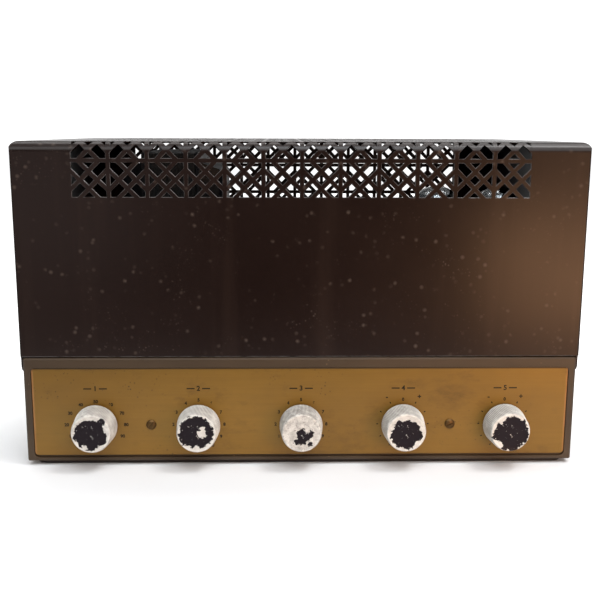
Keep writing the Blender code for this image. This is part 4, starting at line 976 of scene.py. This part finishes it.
def make_valve(node, shares, anodes, looks):
    """A glass envelope with its anodes, micas, wires and getter."""
    low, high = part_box(node)
    place = ((low.x + high.x) / 2, (low.y + high.y) / 2, low.z)
    diameter, height = high.x - low.x, high.z - low.z

    outer = smooth_profile(shares, diameter, height)
    inner = offset_profile(outer, GLASS_WALL)
    inner[0] = (0, outer[0][1] - GLASS_WALL)
    inner = [(r, max(h, GLASS_WALL)) for r, h in inner]
    envelope = turned(f"{node}_envelope", [*outer, *reversed(inner)], GLASS_FACETS, place, smooth=60)
    finished(envelope, looks["glass"], replaces=[node])

    rods, bottom_share, top_share = anodes
    bottom, top = bottom_share * height, top_share * height
    bm = bmesh.new()
    for offset, radius in rods:
        add_rod(bm, (offset, 0, bottom), (offset, 0, top), radius, INNER_FACETS)
    finished(from_bmesh(f"{node}_anodes", bm, place, smooth=35), looks["anode"])

    reach = max(abs(offset) + radius for offset, radius in rods) + MICA_OVERHANG
    mica_radius = min(reach, MICA_LIMIT_SHARE * diameter)
    bm = bmesh.new()
    for level in (bottom - MICA_GAP, top + MICA_GAP):
        add_rod(bm, (0, 0, level), (0, 0, level + MICA_THICKNESS), mica_radius, INNER_FACETS)
    finished(from_bmesh(f"{node}_micas", bm, place, smooth=35), looks["mica"])

    bm = bmesh.new()
    for wire in (-0.5 * reach, 0.5 * reach):
        add_rod(bm, (wire, 0, GLASS_WALL), (wire, 0, top + 0.05 * height), WIRE_RADIUS, 10)
    add_rod(bm, (0, 0, GLASS_WALL), (0, 0, bottom), 0.11 * diameter, 24, 0.12 * diameter)
    finished(from_bmesh(f"{node}_wires", bm, place, smooth=35), looks["wire"])

    face = offset_profile(outer, GLASS_WALL + GETTER_THICKNESS)
    face = [(r, h) for r, h in face if h > GETTER_START_SHARE * height]
    face[0] = (0, face[0][1])
    back = [(max(r - GETTER_THICKNESS, 0), h - GETTER_THICKNESS) for r, h in reversed(face)]
    getter = turned(f"{node}_getter", [*face, *back], GLASS_FACETS, place, smooth=60)
    finished(getter, looks["getter"])


def make_valves():
    looks = {
        "glass": clear_glass(),
        "anode": plain_metal("anode_grey", (0.1, 0.1, 0.105), 0.55, 0.6),
        "mica": moulded("mica", (0.45, 0.42, 0.36), 0.4),
        "wire": plain_metal("support_wire", (0.5, 0.47, 0.42), 0.35),
        "getter": plain_metal("getter_flash", (0.42, 0.42, 0.44), 0.16),
    }
    make_valve("rectifier_glass", RECTIFIER_SHARES, RECTIFIER_ANODES, looks)
    for number in (1, 2):
        make_valve(f"output_valve_{number}_glass", OUTPUT_SHARES, OUTPUT_ANODES, looks)
    for number in (1, 2, 3, 4):
        make_valve(f"small_valve_{number}", SMALL_SHARES, SMALL_ANODES, looks)


# Metal on the rear


def rear_screw(name, place, radius, height, turn, look):
    profile = [(r * radius, h * height) for r, h in LOW_DOME_SHARES]
    foot = REAR_SLOT_SHARE * height
    head = slotted_head(name, [*profile, (0, 0)], INNER_FACETS, place, -math.pi / 2, foot, turn)
    finished(head, look)


def studs(node, count, pitch):
    """The places of a connector strip's studs, on the strip's own middle line."""
    low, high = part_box(node)
    middle = (low.x + high.x) / 2
    return [(middle + (i - (count - 1) / 2) * pitch, high.y, (low.z + high.z) / 2) for i in range(count)]


def make_rear_metal():
    """Shells round the input jacks, screws on the terminals and two screws in the cover's rear."""
    nickel = plain_metal("nickel_dull", (0.5, 0.49, 0.46), 0.35)
    inner = JACK_RADIUS + SLEEVE_CLEARANCE
    outer = inner + SLEEVE_WALL
    lip = 0.3 * SLEEVE_WALL
    sleeve = [
        (inner, 0), (outer, 0), (outer, JACK_REACH - lip), (inner + lip, JACK_REACH), (inner, JACK_REACH),
    ]
    away = (-math.pi / 2, 0, 0)
    for number, (x, y, z) in enumerate(studs("input_jack_strip", JACK_COUNT, JACK_PITCH), 1):
        place = (x, y - JACK_REACH, z)
        shell = turned(f"jack_shell_{number}", sleeve, INNER_FACETS, place, away, ring=True)
        finished(shell, nickel)
    for number, place in enumerate(studs("speaker_terminals", TERMINAL_COUNT, TERMINAL_PITCH), 1):
        turn = TERMINAL_SLOT_TURN * number
        rear_screw(f"terminal_screw_{number}", place, TERMINAL_RADIUS, TERMINAL_HEAD, turn, nickel)
    bronzed = plain_metal("cover_screw_bronzed", (0.1, 0.07, 0.045), 0.4)
    for name, side in (("cover_screw_left", -1), ("cover_screw_right", 1)):
        place = (side * COVER_SCREW_SHARE * COVER_HIGH.x, COVER_HIGH.y, DECK_TOP + COVER_SCREW_HEIGHT)
        turn = side * COVER_SLOT_TURN
        rear_screw(name, place, COVER_SCREW_RADIUS, COVER_SCREW_HEAD, turn, bronzed)


# The nodes that stay in view


def dress_nodes():
    """Gives each node of the frame that stays in view its material."""
    plated = plain_metal("plated_steel_dull", (0.45, 0.44, 0.41), 0.38)
    bakelite = moulded("bakelite_black", (0.012, 0.011, 0.011), 0.32)
    looks = {
        "chassis_enamel": frame_enamel(
            "frame_enamel_worn", (0.036, 0.022, 0.0105), (0.062, 0.038, 0.019), 0.4
        ),
        "pan_enamel": frame_enamel("pan_enamel_dull", (0.014, 0.011, 0.011), (0.022, 0.018, 0.017), 0.6),
        "plated_steel": plated,
        "phenolic": moulded("phenolic_sheet", (0.13, 0.065, 0.025), 0.5, (0.17, 0.095, 0.04)),
        "black_bakelite": bakelite,
        "lamination": laminations(),
        "bell_enamel": frame_enamel("bell_enamel_black", (0.005, 0.005, 0.006), (0.010, 0.010, 0.012), 0.42),
        "can_aluminium": plain_metal(
            "can_aluminium_drawn", (0.62, 0.62, 0.62), 0.35, 1.0, 500, (1, 1, 0.02)
        ),
        "grommet_rubber": moulded("grommet_rubber", (0.014, 0.014, 0.014), 0.75),
    }
    replaced = ("cover_enamel", "panel_brass", "knob_plastic", "valve_glass")
    looks.update(dict.fromkeys(replaced, bakelite))
    slots = {row["node"]: row["material_slot"] for row in frame["record"]["subparts"]}
    for name, node in frame["nodes"].items():
        node.data.materials.clear()
        node.data.materials.append(looks[slots[name]])
        node.data.shade_smooth()
        node.data.set_sharp_from_angle(angle=NODE_SHARP_ANGLE)


# Camera, floor and light


def make_camera():
    data = bpy.data.cameras.new("camera")
    data.lens = CAMERA_LENS
    data.sensor_width = SENSOR_WIDTH
    data.shift_x, data.shift_y = CAMERA_SHIFT
    data.clip_start, data.clip_end = CLIPPING
    camera = bpy.data.objects.new("camera", data)
    turn = Matrix.Rotation(CAMERA_YAW, 4, "Z") @ Matrix.Rotation(math.pi / 2 - CAMERA_PITCH, 4, "X")
    camera.matrix_world = Matrix.Translation(CAMERA_PLACE) @ turn @ Matrix.Rotation(CAMERA_ROLL, 4, "Z")
    bpy.context.scene.collection.objects.link(camera)
    bpy.context.scene.camera = camera


def make_stage():
    """A white floor that glows behind the front, as the photograph's floor fades to white."""
    bm = bmesh.new()
    bmesh.ops.create_grid(bm, x_segments=1, y_segments=1, size=FLOOR_HALF)
    floor = from_bmesh("floor", bm)
    middle = FLOOR_FRONT + FLOOR_HALF
    floor.location = (0, middle, -FLOOR_DROP)
    look = Shading("floor_paper", (0.75, 0.75, 0.755), 0.9, Specular_IOR_Level=0.0)
    depth = look.node("ShaderNodeSeparateXYZ", {"Vector": look.place}).outputs["Y"]
    start, end, strength = FLOOR_GLOW
    glow = look.both(look.between(depth, start - middle, end - middle), strength)
    look.set(look.shader, {"Emission Color": (*WHITE, 1), "Emission Strength": glow})
    floor.data.materials.append(look.material)


def area_light(name, place, target, size, power, color):
    data = bpy.data.lights.new(name, "AREA")
    data.shape = "RECTANGLE"
    data.size, data.size_y = size
    data.energy = power
    data.color = color
    light = bpy.data.objects.new(name, data)
    light.location = place
    light.rotation_euler = (Vector(target) - Vector(place)).to_track_quat("-Z", "Y").to_euler()
    bpy.context.scene.collection.objects.link(light)


def make_world():
    """A pale room that is brighter overhead, and white where the camera sees it."""
    world = bpy.data.worlds.new("studio")
    bpy.context.scene.world = world
    world.use_nodes = True
    nodes, links = world.node_tree.nodes, world.node_tree.links
    room = nodes["Background"]
    room.inputs["Color"].default_value = (*WHITE, 1)
    shown = nodes.new("ShaderNodeBackground")
    shown.inputs["Color"].default_value = (*WHITE, 1)
    shown.inputs["Strength"].default_value = ROOM_SEEN
    direction = nodes.new("ShaderNodeTexCoord").outputs["Generated"]
    parts = nodes.new("ShaderNodeSeparateXYZ")
    links.new(direction, parts.inputs[0])
    height = nodes.new("ShaderNodeMapRange")
    links.new(parts.outputs["Z"], height.inputs["Value"])
    for name, value in ROOM_LIGHT.items():
        height.inputs[name].default_value = value
    links.new(height.outputs[0], room.inputs["Strength"])
    choice = nodes.new("ShaderNodeMixShader")
    rays = nodes.new("ShaderNodeLightPath")
    links.new(rays.outputs["Is Camera Ray"], choice.inputs[0])
    links.new(room.outputs[0], choice.inputs[1])
    links.new(shown.outputs[0], choice.inputs[2])
    links.new(choice.outputs[0], nodes["World Output"].inputs["Surface"])
    bpy.context.scene.view_settings.view_transform = "Standard"


# The whole


def main():
    make_camera()
    make_stage()
    for name, settings in LIGHTS.items():
        area_light(name, *settings)
    make_world()
    make_cover()
    for number, name in enumerate(CONTROLS, 1):
        make_knob(number, name)
    make_panel()
    make_panel_screws()
    make_print()
    make_valves()
    make_rear_metal()
    dress_nodes()


main()
